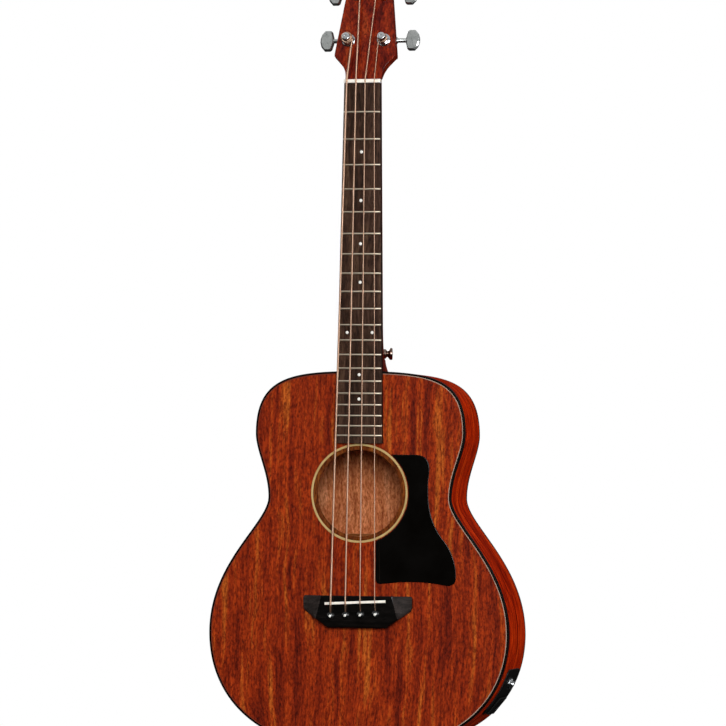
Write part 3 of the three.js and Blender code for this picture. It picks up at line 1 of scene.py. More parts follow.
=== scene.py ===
# Acoustic bass guitar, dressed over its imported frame. Lengths in the dictionaries are millimetres, but in
# the studio's they are metres.
# +Z runs up the neck, the soundboard faces -Y and +X is the treble side.
import json
import bmesh
import bpy
import numpy as np
from mathutils import Matrix, Vector


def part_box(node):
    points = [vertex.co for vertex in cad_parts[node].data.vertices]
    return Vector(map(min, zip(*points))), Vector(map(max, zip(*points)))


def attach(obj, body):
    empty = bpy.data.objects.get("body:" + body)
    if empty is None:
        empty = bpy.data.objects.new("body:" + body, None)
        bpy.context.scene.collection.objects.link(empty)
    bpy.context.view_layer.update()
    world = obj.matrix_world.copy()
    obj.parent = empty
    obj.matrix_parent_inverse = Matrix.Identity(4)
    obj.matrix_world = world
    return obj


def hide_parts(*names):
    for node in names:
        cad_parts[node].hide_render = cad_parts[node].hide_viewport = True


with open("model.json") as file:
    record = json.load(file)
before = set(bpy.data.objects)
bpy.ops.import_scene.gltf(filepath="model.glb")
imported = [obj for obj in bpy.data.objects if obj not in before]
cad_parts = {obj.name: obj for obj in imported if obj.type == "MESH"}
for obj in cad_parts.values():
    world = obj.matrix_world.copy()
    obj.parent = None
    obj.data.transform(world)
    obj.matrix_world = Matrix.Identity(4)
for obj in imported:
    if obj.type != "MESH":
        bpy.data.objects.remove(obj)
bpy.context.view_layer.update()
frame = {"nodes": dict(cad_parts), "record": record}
nodes = frame["nodes"]
print("frame loaded:", len(nodes), "nodes")

mm = 0.001
fullTurn = 2 * np.pi
forward = (0, -1, 0)                         # out of the soundboard, and of the headstock's face


def boxOf(node):
    # lowest and highest corner of a node, in millimetres
    return [np.array(corner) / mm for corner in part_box(node)]


# Places read from the frame
frontY = boxOf("top_plate")[0][1]            # the soundboard's plane
bodyBottomZ, bodyTopZ = [corner[2] for corner in boxOf("top_binding")]
bodyLength = bodyTopZ - bodyBottomZ
gap = 0.3                                    # glue and running gap between neighbours
nutZ = boxOf("nut")[0][2] - gap              # the edge where the strings' free length starts

# Distances too small to see, which keep faces that meet out of one plane
hair = 0.02
footLift = 0.03                              # under what stands on the soundboard
standOff = 0.05                              # under turned parts and cases
mergeWithin = 2e-6                           # in metres


# Curves and loops, all as whole arrays
def bezier(ends, count):
    # cubic: ends and handles weighted by (1-t)^3, 3(1-t)^2 t, 3(1-t) t^2 and t^3
    t = np.linspace(0, 1, count)[:, None]
    a, b, c, d = [np.asarray(p, float) for p in ends]
    return (1 - t) ** 3 * a + 3 * (1 - t) ** 2 * t * b + 3 * (1 - t) * t ** 2 * c + t ** 3 * d


def bend(ends, count):
    # quadratic: the ends and the handle weighted by (1-t)^2, 2(1-t) t and t^2
    t = np.linspace(0, 1, count)[:, None]
    a, b, c = [np.asarray(p, float) for p in ends]
    return (1 - t) ** 2 * a + 2 * (1 - t) * t * b + t ** 2 * c


def chain(*runs):
    # runs of points laid end to end, without the points that they share
    points = np.vstack([np.atleast_2d(np.asarray(run, float)) for run in runs])
    step = np.linalg.norm(np.diff(points, axis=0), axis=1)
    return points[np.r_[True, step > 1e-6]]


def lengths(points):
    # distance along a line at each of its points
    return np.r_[0, np.cumsum(np.linalg.norm(np.diff(points, axis=0), axis=1))]


def unit(vectors):
    # the same directions, one long
    return vectors / np.linalg.norm(vectors, axis=-1, keepdims=True)


def evenly(points, count):
    # the same line with its points at even distances along it
    along = lengths(points)
    wanted = np.linspace(0, along[-1], count)
    return np.stack([np.interp(wanted, along, points[:, k]) for k in range(points.shape[1])], 1)


def easeCorners(points, reach, steps=5):
    # each inner corner of a line becomes a quadratic bend that starts and ends at the reach from it
    points = np.asarray(points, float)
    runs = [points[:1]]
    for before, corner, after in zip(points[:-2], points[1:-1], points[2:]):
        near, far = before - corner, after - corner
        a, b = np.linalg.norm(near), np.linalg.norm(far)
        start = corner + near / a * min(reach, a * 0.45)
        end = corner + far / b * min(reach, b * 0.45)
        runs.append(bend([start, corner, end], steps))
    return chain(*runs, points[-1:])


def quarter(size, steps):
    # a quarter circle between a wall and a face, as its distances from both: size (1 - cos a) and
    # size (1 - sin a)
    turn = np.linspace(0, np.pi / 2, steps)
    return size * (1 - np.cos(turn)), size * (1 - np.sin(turn))


def roundedRim(radius, height, size=0.9):
    # the rim of a turned part's flat top, as radius and height pairs
    inset, drop = quarter(size, 6)
    return list(zip(radius - inset, height - drop))


def inwardOf(loop):
    # mitred inward direction at each point of a closed loop: its two edges' normals over 1 + their dot
    after = unit(np.roll(loop, -1, 0) - loop)
    n1, n2 = [np.stack([edge[:, 1], -edge[:, 0]], 1) for edge in (np.roll(after, 1, 0), after)]
    mitre = (n1 + n2) / np.maximum(1 + (n1 * n2).sum(1), 0.3)[:, None]
    area = (loop[:, 0] * np.roll(loop[:, 1], -1) - loop[:, 1] * np.roll(loop[:, 0], -1)).sum()
    return -mitre if area > 0 else mitre


def quads(rows, cols, closeCols=False, closeRows=False):
    # faces between neighbouring rows and columns of a grid of points
    r = np.arange(rows if closeRows else rows - 1)[:, None]
    c = np.arange(cols if closeCols else cols - 1)[None, :]
    nextRow, nextCol = (r + 1) % rows, (c + 1) % cols
    corners = [r * cols + c, r * cols + nextCol, nextRow * cols + nextCol, nextRow * cols + c]
    return np.stack([k + 0 * (r + c) for k in corners], -1).reshape(-1, 4)


def gridShell(grid, closeCols=False, closeRows=False, caps=False):
    # a grid of points [rows, columns, xyz] as a shell; caps close its first and last row
    rows, cols = grid.shape[:2]
    faces = quads(rows, cols, closeCols, closeRows).tolist()
    if caps:
        faces += [list(range(cols)), list(range((rows - 1) * cols, rows * cols))]
    return grid.reshape(-1, 3), faces


def latheShell(profile, origin, axis, sides=48, ring=False):
    # radius and height pairs carried round an axis: r cos(a) and r sin(a) across it, height along it
    profile = np.asarray(profile, float)
    axis = unit(np.asarray(axis, float))
    side = unit(np.cross(axis, [0.31, 0.87, 0.38]))      # a direction that no axis here lies along
    angle = np.arange(sides)[:, None] / sides * fullTurn
    spoke = np.cos(angle) * side + np.sin(angle) * np.cross(axis, side)
    grid = profile[:, None, :1] * spoke + profile[:, None, 1:] * axis + np.asarray(origin, float)
    return gridShell(grid, closeCols=True, closeRows=ring)


def sweptShell(path, radius, across, outward, sides=16):
    # a circle carried along a path: path + radius (cos a across + sin a outward).
    # The last column repeats the first, so that the length and turn kept as UV meet cleanly.
    turn = np.linspace(0, 1, sides + 1)
    angle = turn[:, None] * fullTurn
    grid = path[:, None] + radius * (np.cos(angle) * across[:, None] + np.sin(angle) * outward[:, None])
    uv = np.stack(np.broadcast_arrays(lengths(path)[:, None], turn), -1).reshape(-1, 2)
    points, faces = gridShell(grid)
    last = (len(path) - 1) * (sides + 1)
    return points, faces + [list(range(sides)), list(range(last, last + sides))], uv


def tubeShell(path, radius):
    # a round wire kept level with X: across = X without its part along the path
    along = unit(np.gradient(path, axis=0))
    across = unit(np.array([1.0, 0, 0]) - along * along[:, :1])
    return sweptShell(path, radius, across, np.cross(across, along))


def plateShell(outline, nearY, farY, ease, steps=4, flat=0.5):
    # a flat plate over an outline of x and z: each face keeps a flat margin, then turns a quarter circle
    # into the wall
    inward = inwardOf(outline)
    depth, inset = quarter(ease, steps + 1)
    insets = np.r_[ease + flat, inset, inset[::-1], ease + flat]
    levels = np.r_[nearY, nearY + depth, farY - depth[::-1], farY]
    flatPoints = outline + insets[:, None, None] * inward
    heights = np.broadcast_to(levels[:, None, None], flatPoints.shape[:2] + (1,))
    grid = np.concatenate([flatPoints[..., :1], heights, flatPoints[..., 1:]], -1)
    return gridShell(grid, closeCols=True, caps=True)


def moved(shell, turn):
    # a shell with its points put through a function
    points, faces, *rest = shell
    return (turn(points), faces, *rest)


def cleanMesh(mesh, step):
    # doubles merged, then one more step on the same faces
    edit = bmesh.new()
    edit.from_mesh(mesh)
    bmesh.ops.remove_doubles(edit, verts=edit.verts, dist=mergeWithin)
    step(edit)
    edit.to_mesh(mesh)
    edit.free()


def finishPiece(name, mesh, materials, node, body, sharp, pick=None):
    # smooth below the sharp angle; pick gives each face its material, from the faces' centres and normals
    mesh.polygons.foreach_set("use_smooth", np.ones(len(mesh.polygons), bool))
    mesh.set_sharp_from_angle(angle=np.radians(sharp))
    for material in materials if isinstance(materials, list) else [materials]:
        mesh.materials.append(material)
    if pick:
        centres, normals = np.zeros((2, 3 * len(mesh.polygons)), np.float32)
        mesh.polygons.foreach_get("center", centres)
        mesh.polygons.foreach_get("normal", normals)
        chosen = pick(centres.reshape(-1, 3) / mm, normals.reshape(-1, 3))
        mesh.polygons.foreach_set("material_index", chosen.astype(np.int32))
    piece = bpy.data.objects.new(name, mesh)
    bpy.context.scene.collection.objects.link(piece)
    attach(piece, body)
    if node:
        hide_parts(node)
    return piece


def addPiece(name, shells, materials, node=None, body="instrument", sharp=32, pick=None):
    # one mesh of several shells, closed and turned outwards, that stands for a node and rides a body
    points, faces, uvs, start = [], [], [], 0
    for shellPoints, shellFaces, *rest in shells:
        points.append(shellPoints)
        faces += [[start + k for k in face] for face in shellFaces]
        uvs.append(rest[0] if rest else np.zeros((len(shellPoints), 2)))
        start += len(shellPoints)
    mesh = bpy.data.meshes.new(name)
    mesh.from_pydata((np.vstack(points) * mm).tolist(), [], faces)
    layer = mesh.uv_layers.new(name="lengthAndTurn")
    corners = np.zeros(len(mesh.loops), np.int32)
    mesh.loops.foreach_get("vertex_index", corners)
    layer.data.foreach_set("uv", np.vstack(uvs)[corners].astype(np.float32).ravel())
    cleanMesh(mesh, lambda edit: bmesh.ops.recalc_face_normals(edit, faces=edit.faces))
    finishPiece(name, mesh, materials, node, body, sharp, pick)


def copyNode(name, node, material, body, rounding):
    # the node's own solid with its flat faces made whole, and a narrow bevel on its edges
    mesh = nodes[node].data.copy()
    mesh.materials.clear()
    cleanMesh(mesh, lambda edit: bmesh.ops.dissolve_limit(
        edit, angle_limit=np.radians(1), verts=edit.verts, edges=edit.edges))
    piece = finishPiece(name, mesh, material, node, body, 30)
    bevel = piece.modifiers.new("rounding", "BEVEL")
    bevel.width = rounding * mm
    bevel.segments = 2
    bevel.limit_method = "ANGLE"
    bevel.angle_limit = np.radians(40)


# Camera: the photograph's angle, from the instrument's treble side and a little from below its middle
camera = {
    "target": (2.94, frontY, 462.5),
    "distance": 5384.7,
    "yawDegrees": 13.09,
    "pitchDegrees": -1.645,
    "rollDegrees": 0.572,
    "focalPixels": 4645,
    "frameWidth": 726,
}


def makeCamera():
    # the lens looks back along the line that yaw and pitch give, and roll turns it about that line
    yaw, pitch, roll = np.radians([camera[key] for key in ("yawDegrees", "pitchDegrees", "rollDegrees")])
    back = np.array([np.sin(yaw) * np.cos(pitch), -np.cos(yaw) * np.cos(pitch), np.sin(pitch)])
    level = unit(np.cross(-back, [0, 0, 1.0]))
    upright = np.cross(level, -back)
    right = level * np.cos(roll) + upright * np.sin(roll)
    up = -level * np.sin(roll) + upright * np.cos(roll)
    place = (np.array(camera["target"]) + camera["distance"] * back) * mm
    lens = bpy.data.cameras.new("studioCamera")
    lens.sensor_width = 36
    lens.lens = camera["focalPixels"] / camera["frameWidth"] * lens.sensor_width
    lens.clip_end = 100
    holder = bpy.data.objects.new("studioCamera", lens)
    turned = np.eye(4)
    turned[:3] = np.stack([right, up, back, place], 1)
    holder.matrix_world = Matrix(turned.tolist())
    bpy.context.scene.collection.objects.link(holder)
    bpy.context.scene.camera = holder


makeCamera()


# Nodes and colours
def linear(hexColour):
    # sRGB hex to linear light
    values = np.array([int(hexColour[k:k + 2], 16) for k in (1, 3, 5)]) / 255
    light = np.where(values <= 0.04045, values / 12.92, ((values + 0.055) / 1.055) ** 2.4)
    return (*light.tolist(), 1.0)


def linkInto(tree, node, links):
    # links into a node, each from a socket, or from a node's first output
    for key, source in links.items():
        tree.links.new(source.outputs[0] if hasattr(source, "outputs") else source, node.inputs[key])


def addNode(tree, kind, settings=None, links=None):
    # one shader node with its settings and the links into it; stops are a ramp's places and colours
    node = tree.nodes.new("ShaderNode" + kind)
    for key, value in (settings or {}).items():
        if key == "stops":
            elements = node.color_ramp.elements
            for k, (place, colour) in enumerate(value.items()):
                element = elements[k] if k < len(elements) else elements.new(place)
                element.position = place
                element.color = linear(colour)
        elif isinstance(key, int) or key in node.inputs:
            node.inputs[key].default_value = linear(value) if isinstance(value, str) else value
        else:
            setattr(node, key, value)
    linkInto(tree, node, links or {})
    return node


def newMaterial(name, settings):
    # a principled surface on its output
    material = bpy.data.materials.new(name)
    material.use_nodes = True
    tree = material.node_tree
    tree.nodes.clear()
    shader = addNode(tree, "BsdfPrincipled", settings)
    addNode(tree, "OutputMaterial", links={"Surface": shader})
    return material, tree, shader


# Body: outline seen from the front, as half widths and their places along the length from the neck end
body = {
    "upperBout": (124.5, 0.164),
    "waist": (108.5, 0.3335),
    "lowerBout": (178.0, 0.69),
    "shoulderHandles": (0.66, 0.92),
    "upperFlankHandles": (0.28, 0.382),
    "lowerFlankHandles": (0.193, 0.516),
    "tailHandles": (0.485, 0.75),
    "stations": 400,
    "neckDepth": 78,
    "tailDepth": 112,
    "backArch": 4,
    "topThickness": 2.8,
    "backThickness": 2.8,
    "sideThickness": 2.6,
    "bindingWidth": 1.6,
    "bindingDepth": 5,
    "bindingShown": 1.86,        # its own width, which nearly fills its rebate
    "bindingRounding": 0.35,
    "bindingLap": 0.5,           # its lip over the top's edge, a hair proud
    "purflingWidth": 0.9,
    "lipDepth": 0.3,             # thickness of that lip, and of the line beside it
    "proud": 0.03,
}


def flank(start, end, handles):
    # an S between two widths: both ends run straight along the length
    run = end[1] - start[1]
    leave, arrive = handles
    return bezier([start, (start[0], start[1] + leave * run), (end[0], end[1] - arrive * run), end], 160)


def bodyOutline():
    # four cubic curves down the treble side, spaced evenly and mirrored to the bass side, as x and z
    upper, waist, lower = [(half, share * bodyLength) for half, share in
                           (body["upperBout"], body["waist"], body["lowerBout"])]
    shoulder, bout = body["shoulderHandles"]
    side, end = body["tailHandles"]
    tail = bodyLength - lower[1]
    treble = chain(
        bezier([(0, 0), (shoulder * upper[0], 0), (upper[0], upper[1] * (1 - bout)), upper], 160),
        flank(upper, waist, body["upperFlankHandles"]),
        flank(waist, lower, body["lowerFlankHandles"]),
        bezier([lower, (lower[0], lower[1] + side * tail), (end * lower[0], bodyLength),
                (0, bodyLength)], 160))
    treble = evenly(treble, body["stations"] // 2 + 1) * (1, -1) + (0, bodyTopZ)
    return np.vstack([treble, treble[-2:0:-1] * (-1, 1)])


outline = bodyOutline()
outlineInward = inwardOf(outline)
outlineLength = lengths(outline)
tailAt = len(outline) // 2
fromTail = np.abs(outlineLength - outlineLength[tailAt])     # along the rim, both ways from the tail
rebate = body["bindingWidth"] + gap


def sideDepth(share):
    # in a straight line from the tail, 0, to the neck's end, 1
    return body["tailDepth"] + (body["neckDepth"] - body["tailDepth"]) * share


def backY(x, z):
    # the arched back: the sides' depth, and a rise that falls with x squared to each side
    arch = body["backArch"] * (1 - (x / body["lowerBout"][0]) ** 2)
    return frontY + sideDepth((z - bodyBottomZ) / bodyLength) + arch


def topEdge(x, z):
    # flat, in the soundboard's plane
    return frontY + 0 * x


def backInnerY(x, z):
    # the same arch, the back plate's thickness further in
    return backY(x, z) - body["backThickness"]


def stripGrid(section):
    # a section of (inset, surface, offset) carried round the outline: outline + inset * inward at the
    # height surface + offset
    rows = []
    for inset, surface, offset in section:
        flat = outline + inset * outlineInward
        rows.append(np.insert(flat, 1, surface(flat[:, 0], flat[:, 1]) + offset, axis=1))
    return np.array(rows)


# Battery plate, box and jack: places along the treble side, measured down it from the plate's middle
boxPlate = {
    "drop": 0.8425,              # the plate's middle, along the body from its neck end
    "insetShare": 0.56,          # of the side's depth there, from the soundboard
    "length": 60,
    "width": 66,
    "thickness": 1.6,
    "corner": 7,
    "edge": 0.7,
    "jackRise": 11,              # of the jack above the plate's middle,
    "drawerFall": 14,            # and of the drawer below it, both as heights
    "openingAlong": (-19, 27),
    "openingWidth": 34.6,
    "drawerWidth": 29.8,
    "drawerHeight": 19.3,
    "drawerLength": 53.4,
    "wall": 1.8,
    "ease": 0.35,                # the opening is this much larger all round than the drawer
    "holeCorner": 0.6,
}
plateZ = bodyTopZ - bodyLength * boxPlate["drop"]
plateInset = boxPlate["insetShare"] * sideDepth(1 - boxPlate["drop"])
trebleSide, trebleInward = outline[:tailAt + 1], outlineInward[:tailAt + 1]
trebleLength = outlineLength[:tailAt + 1]
plateAt, drawerAt = np.interp([-plateZ, boxPlate["drawerFall"] - plateZ], -trebleSide[:, 1], trebleLength)


def onSide(along):
    # point and outward direction of the treble side at a distance along it, down from the plate's middle
    at = plateAt + np.asarray(along, float)
    point, inward = [np.stack([np.interp(at, trebleLength, run[:, k]) for k in (0, 1)], -1)
                     for run in (trebleSide, trebleInward)]
    return point, unit(-inward)


def sideFrame(drop):
    # a frame on the side at a drop from the neck end: out of it, across it (+Y) and up along it
    z = bodyTopZ - drop
    point, out = onSide(np.interp(-z, -trebleSide[:, 1], trebleLength) - plateAt)
    origin = np.array([point[0], frontY + plateInset, point[1]])
    outward = np.array([out[0], 0, out[1]])
    return origin, outward, np.array([0, 1.0, 0]), np.cross(outward, [0, 1.0, 0])


def inFrame(place, points):
    # local x, y and z along a frame's three directions
    origin, x, y, z = place
    points = np.asarray(points, float)
    return origin + points[..., :1] * x + points[..., 1:2] * y + points[..., 2:3] * z


jackPlace = sideFrame(bodyLength * boxPlate["drop"] - boxPlate["jackRise"])
drawerPlace = sideFrame(bodyLength * boxPlate["drop"] + boxPlate["drawerFall"])


def sidesShell():
    # the rebated rim, with one opening behind the battery plate: both skins lose their faces there, and walls
    # join them
    depth, thick, lip = body["bindingDepth"] + gap, body["sideThickness"], body["topThickness"] + gap
    grid = stripGrid([
        (rebate, topEdge, lip), (rebate, topEdge, depth), (0, topEdge, depth), (0, topEdge, depth),
        (0, backY, -depth), (0, backY, -depth), (rebate, backY, -depth), (rebate, backInnerY, -gap),
        (thick, backInnerY, -gap), (thick, backInnerY, -gap), (thick, topEdge, lip), (thick, topEdge, lip)])
    front, rear = (3, 10), (4, 9)        # the outer and the inner skin's row at the opening's two long edges
    edges = grid[2, :, 1], grid[5, :, 1]
    at = np.argmin(np.abs(trebleLength - plateAt))
    for pair, side in ((front, -0.5), (rear, 0.5)):
        level = frontY + plateInset + side * boxPlate["openingWidth"]
        share = (level - edges[0][at]) / (edges[1][at] - edges[0][at])
        grid[pair, :, 1] = edges[0] + share * (edges[1] - edges[0])
    rows, cols = grid.shape[:2]
    row, col = np.divmod(np.arange(rows * cols), cols)
    first, last = [np.argmin(np.abs(trebleLength - plateAt - edge)) for edge in boxPlate["openingAlong"]]
    inOpening = (col >= first) & (col < last) & ((row == front[0]) | (row == rear[1]))
    faces = quads(rows, cols, True, True)[~inOpening].tolist()
    run = np.arange(first, last)
    for outer, inner in (front, rear):
        a, b = outer * cols + run, inner * cols + run
        faces += np.stack([a, a + 1, b + 1, b], 1).tolist()
    faces += [[row * cols + k for row in (front[0], *rear, front[1])] for k in (first, last)]
    uv = np.stack([np.broadcast_to(fromTail * mm, (rows, cols)), grid[..., 1] * mm], -1).reshape(-1, 2)
    return grid.reshape(-1, 3), faces, uv


def sideFaces(centres, normals):
    # 1 on the faces that look towards the body's middle, which are bare wood
    outward = normals[:, 0] * centres[:, 0] + normals[:, 2] * (centres[:, 2] - soundholeZ)
    return (outward < 0) & (np.abs(normals[:, 1]) < 0.7)


def bindingSections():
    # black corner strips: square on their hidden sides, a quarter circle on the outer corner
    width, depth = body["bindingShown"], body["bindingDepth"]
    lip, under, front = width + body["bindingLap"], body["lipDepth"], -body["proud"]
    arc = list(zip(*quarter(body["bindingRounding"], 6)[::-1]))
    top = [(width, topEdge, depth), (width, topEdge, under), (lip, topEdge, under), (lip, topEdge, front)]
    top += [(inset, topEdge, fall + front) for inset, fall in arc] + [(0, topEdge, depth)]
    back = [(width, backY, -depth), (width, backY, 0)]
    back += [(inset, backY, -fall) for inset, fall in arc] + [(0, backY, -depth)]
    return top, back


def purflingSection():
    # the thin line beside the binding's lip, a hair apart from it
    near = body["bindingShown"] + body["bindingLap"] + hair
    far, front, under = near + body["purflingWidth"], -body["proud"], body["lipDepth"]
    return [(near, topEdge, under), (near, topEdge, front), (far, topEdge, front), (far, topEdge, under)]


# Fretboard, frets and position marks
board = {
    "scaleLength": 597,
    "frets": 20,
    "overhang": 9,               # past the last fret
    "nutWidth": 43,
    "endWidth": 55.6,
    "thickness": 6.4,
    "camber": 0.6,
    "edge": 0.5,
    "endEase": 0.25,
    "fretWidth": 2.0,
    "fretHeight": 0.95,
    "fretSink": 0.6,
    "fretInset": 0.15,           # of its ends from the board's edges
    "markRadius": 1.8,
    "markDepth": 0.4,
    "singleMarks": (3, 5, 7, 9, 15, 17),
    "doubleMark": 12,
    "doubleSpacing": 29.6,
}


def fretDistance(fret):
    # from the nut: the scale times 1 - 2^(-n/12)
    return board["scaleLength"] * (1 - 2 ** (-fret / 12))


boardTopY = frontY - board["thickness"]      # along its middle
boardLength = fretDistance(board["frets"]) + board["overhang"]


def boardHalf(z):
    # half the width, which grows in a straight line from the nut to the end
    return (board["nutWidth"] + (board["endWidth"] - board["nutWidth"]) * (nutZ - z) / boardLength) / 2


def boardTop(x, z):
    # the camber: the top falls with the square of the distance from the middle
    return boardTopY + board["camber"] * (x / boardHalf(z)) ** 2


def boardShell():
    # a section of base, walls, quarter-round edges and cambered top, carried along the neck
    ease, foot = board["endEase"], [frontY - footLift]
    inset, drop = [part[:-1] for part in quarter(board["edge"], 5)]
    rows = []
    endZ = nutZ - boardLength
    for z, tuck in ((nutZ, ease), (nutZ - ease, 0), (endZ + ease, 0), (endZ, ease)):
        half = boardHalf(z)
        flat = np.linspace(1, -1, 17) * (half - board["edge"] - tuck)
        side = half - inset - tuck
        x = np.r_[half - tuck, side, flat, -side[::-1], -half + tuck]
        lower = boardTopY + board["camber"] + drop + tuck
        y = np.r_[foot, lower, boardTop(flat, z) + tuck, lower[::-1], foot]
        rows.append(np.stack([x, y, z + 0 * x], 1))
    return gridShell(np.array(rows), closeCols=True, caps=True)


def boardEdges(centres, normals):
    # 1 on the long edges, which carry painted shade
    return np.abs(normals[:, 0]) > 0.8


def fretShell(fret):
    # a crowned wire: half an ellipse in section, carried across the board and bevelled down at both ends
    z = nutZ - fretDistance(fret)
    turn = np.linspace(0, np.pi, 9)
    across = np.array([-1, -0.975, -0.94, -0.5, 0, 0.5, 0.94, 0.975, 1.0])
    rise = np.array([0.1, 0.6, 1, 1, 1, 1, 1, 0.6, 0.1])
    sink = board["fretSink"] * np.array([0.9, 0.2, 0, 0, 0, 0, 0, 0.2, 0.9])
    x = across * (boardHalf(z) - board["fretInset"])
    crown = (boardTop(x, z) + sink)[:, None] - rise[:, None] * board["fretHeight"] * np.sin(turn)
    foot = z + board["fretWidth"] / 2 * np.cos(turn)
    grid = np.stack(np.broadcast_arrays(x[:, None], crown, foot), -1)
    below = grid[:, [-1, 0]] + (0, board["fretSink"], 0)
    return gridShell(np.concatenate([grid, below], 1), closeCols=True, caps=True)


def markShells():
    # flat discs let into the board between two frets, a hair proud of it
    radius, depth = board["markRadius"], board["markDepth"]
    profile = [(0, standOff), (radius - 0.15, standOff), (radius, 0), (radius, -depth), (0, -depth)]
    places = [(0, fret) for fret in board["singleMarks"]]
    places += [(side * board["doubleSpacing"] / 2, board["doubleMark"]) for side in (-1, 1)]
    shells = []
    for x, fret in places:
        z = nutZ - (fretDistance(fret) + fretDistance(fret - 1)) / 2
        shells.append(latheShell(profile, (x, boardTop(x, z), z), forward, 28))
    return shells


# Top plate, its soundhole and the ring let into it
soundhole = {
    "radius": 50,
    "edge": 0.7,
    "ringInner": 55.0,
    "ringWidth": 2.4,
    "ringDepth": 1.2,
    "ringCrown": 0.12,
    "ringSunk": 0.1,
    "ringSeam": 0.12,            # dark joint on both sides of the ring
}
ringOuter = soundhole["ringInner"] + soundhole["ringWidth"]
soundholeZ = nutZ - boardLength - gap - ringOuter


def topShell():
    # rings of points round the soundhole: circles of growing radius, then shares of the way to the outline
    middle = np.array([0, soundholeZ])
    spoke = outline + rebate * outlineInward - middle
    reach = np.linalg.norm(spoke, axis=1)
    ray = spoke / reach[:, None]
    thick, hole = body["topThickness"], soundhole["radius"]
    near, far = soundhole["ringInner"] - soundhole["ringSeam"], ringOuter + soundhole["ringSeam"]
    depth = soundhole["ringDepth"] + gap
    rows = [(hole, thick), *[(hole + inset, drop) for inset, drop in zip(*quarter(soundhole["edge"], 5))]]
    rows += [(near, 0), (near, depth), (far, depth), (far, 0)]
    rows += [(ringOuter + 1 + (reach - ringOuter - 1) * share, 0) for share in np.linspace(0, 1, 6)]
    rows += [(reach, thick), (hole + 2, thick)]
    grid = []
    for radius, fall in rows:
        flat = middle + np.broadcast_to(radius, len(ray))[:, None] * ray
        grid.append(np.insert(flat, 1, frontY + fall, axis=1))
    return gridShell(np.array(grid), closeCols=True, closeRows=True)


def backShell():
    # the arched plate: the same rays, their height from backY, closed at a pole on each side
    edge = outline + rebate * outlineInward
    middle = np.array([0, soundholeZ])
    shares = np.linspace(0, 1, 18)
    rows = []
    for share, surface in [(s, backY) for s in shares] + [(s, backInnerY) for s in shares[::-1]]:
        flat = middle + share * (edge - middle)
        rows.append(np.insert(flat, 1, surface(flat[:, 0], flat[:, 1]), axis=1))
    return gridShell(np.array(rows), closeCols=True)


def ringShell():
    # lathed ring: a low crown between its two edges, w (1 - s^2) high
    inner, half, depth = soundhole["ringInner"], soundhole["ringWidth"] / 2, soundhole["ringDepth"]
    across = np.linspace(-1, 1, 9)
    crown = soundhole["ringCrown"] * (1 - across ** 2) - soundhole["ringSunk"]
    profile = [*zip(inner + half + half * across, crown), (ringOuter, -depth), (inner, -depth)]
    return latheShell(profile, (0, frontY, soundholeZ), forward, 160, ring=True)


def soundboardFaces(centres, normals):
    # 1 on the faces inside the body, 2 on the band between the ring and the soundhole, which carries painted
    # shade
    away = np.hypot(centres[:, 0], centres[:, 2] - soundholeZ)
    return np.where(normals[:, 1] > 0.5, 1, np.where(away < soundhole["ringInner"], 2, 0))


def backFaces(centres, normals):
    # 1 on the faces that look into the body
    return normals[:, 1] < -0.5


# Neck, heel and headstock in one run of sections
neckShape = {
    "thickness": 15.6,
    "thicknessAtHeel": 17.6,
    "roundness": 2.3,
    "heelRoundness": 3.6,
    "heelFoot": 14,
    "heelReach": 62,
    "heelDepth": 80.5,
    "heelCapShare": 0.54,
    "heelFlare": 20,             # length over which the heel spreads again to meet the body
    "heelFlareShare": 0.52,
    "headTiltDegrees": 14,
    "headThickness": 14.5,
    "headLength": 143,
    "headHalfWidth": 36.7,
    "headTipHalf": 23.5,
    "headCorner": 3,
    "tipCorner": 7,
    "tipCrown": 3,
    "flareLength": 28.5,
    "flareHandles": (0.49, 0.3, 0.6),
    "headEdge": 1.0,
    "headSquareness": 9,
    "squareBy": 0.5,             # share of the flare after which the section is fully square
    "sideSquareness": 16,        # past the flare
    "easeBy": 12,                # along the headstock, where its edges are fully eased
}
headTurn = np.radians(neckShape["headTiltDegrees"])


def headPlace(points):
    # the headstock's own frame: its face is y = 0 and z runs from the nut; tilted back about X
    points = np.asarray(points, float)
    x, y, z = points[..., 0], points[..., 1], points[..., 2]
    level = frontY + y * np.cos(headTurn) + z * np.sin(headTurn)
    height = nutZ + nutShape["length"] - y * np.sin(headTurn) + z * np.cos(headTurn)
    return np.stack([x, level, height], -1)


def headOutline():
    # treble half of the headstock: concave flare, corner, straight taper, rounded tip and shallow crown
    length, width = neckShape["flareLength"], neckShape["headHalfWidth"]
    low, rise, high = neckShape["flareHandles"]
    nutHalf = board["nutWidth"] / 2
    spread = width - nutHalf
    tip, corner, crown = neckShape["headTipHalf"], neckShape["tipCorner"], neckShape["tipCrown"]
    tipZ = neckShape["headLength"] - crown
    turn = neckShape["headCorner"]
    return chain(
        bezier([(nutHalf, 0), (nutHalf, length * low), (nutHalf + spread * rise, length * high),
                (width - gap, length)], 40),
        bend([(width - gap, length), (width, length + gap), (width, length + turn)], 7),
        np.linspace((width, length + turn), (tip, tipZ - corner), 24),
        bend([(tip, tipZ - corner), (tip, tipZ), (tip - corner, tipZ)], 10),
        bend([(tip - corner, tipZ), (0, tipZ + 2 * crown), (corner - tip, tipZ)], 33)[:17])


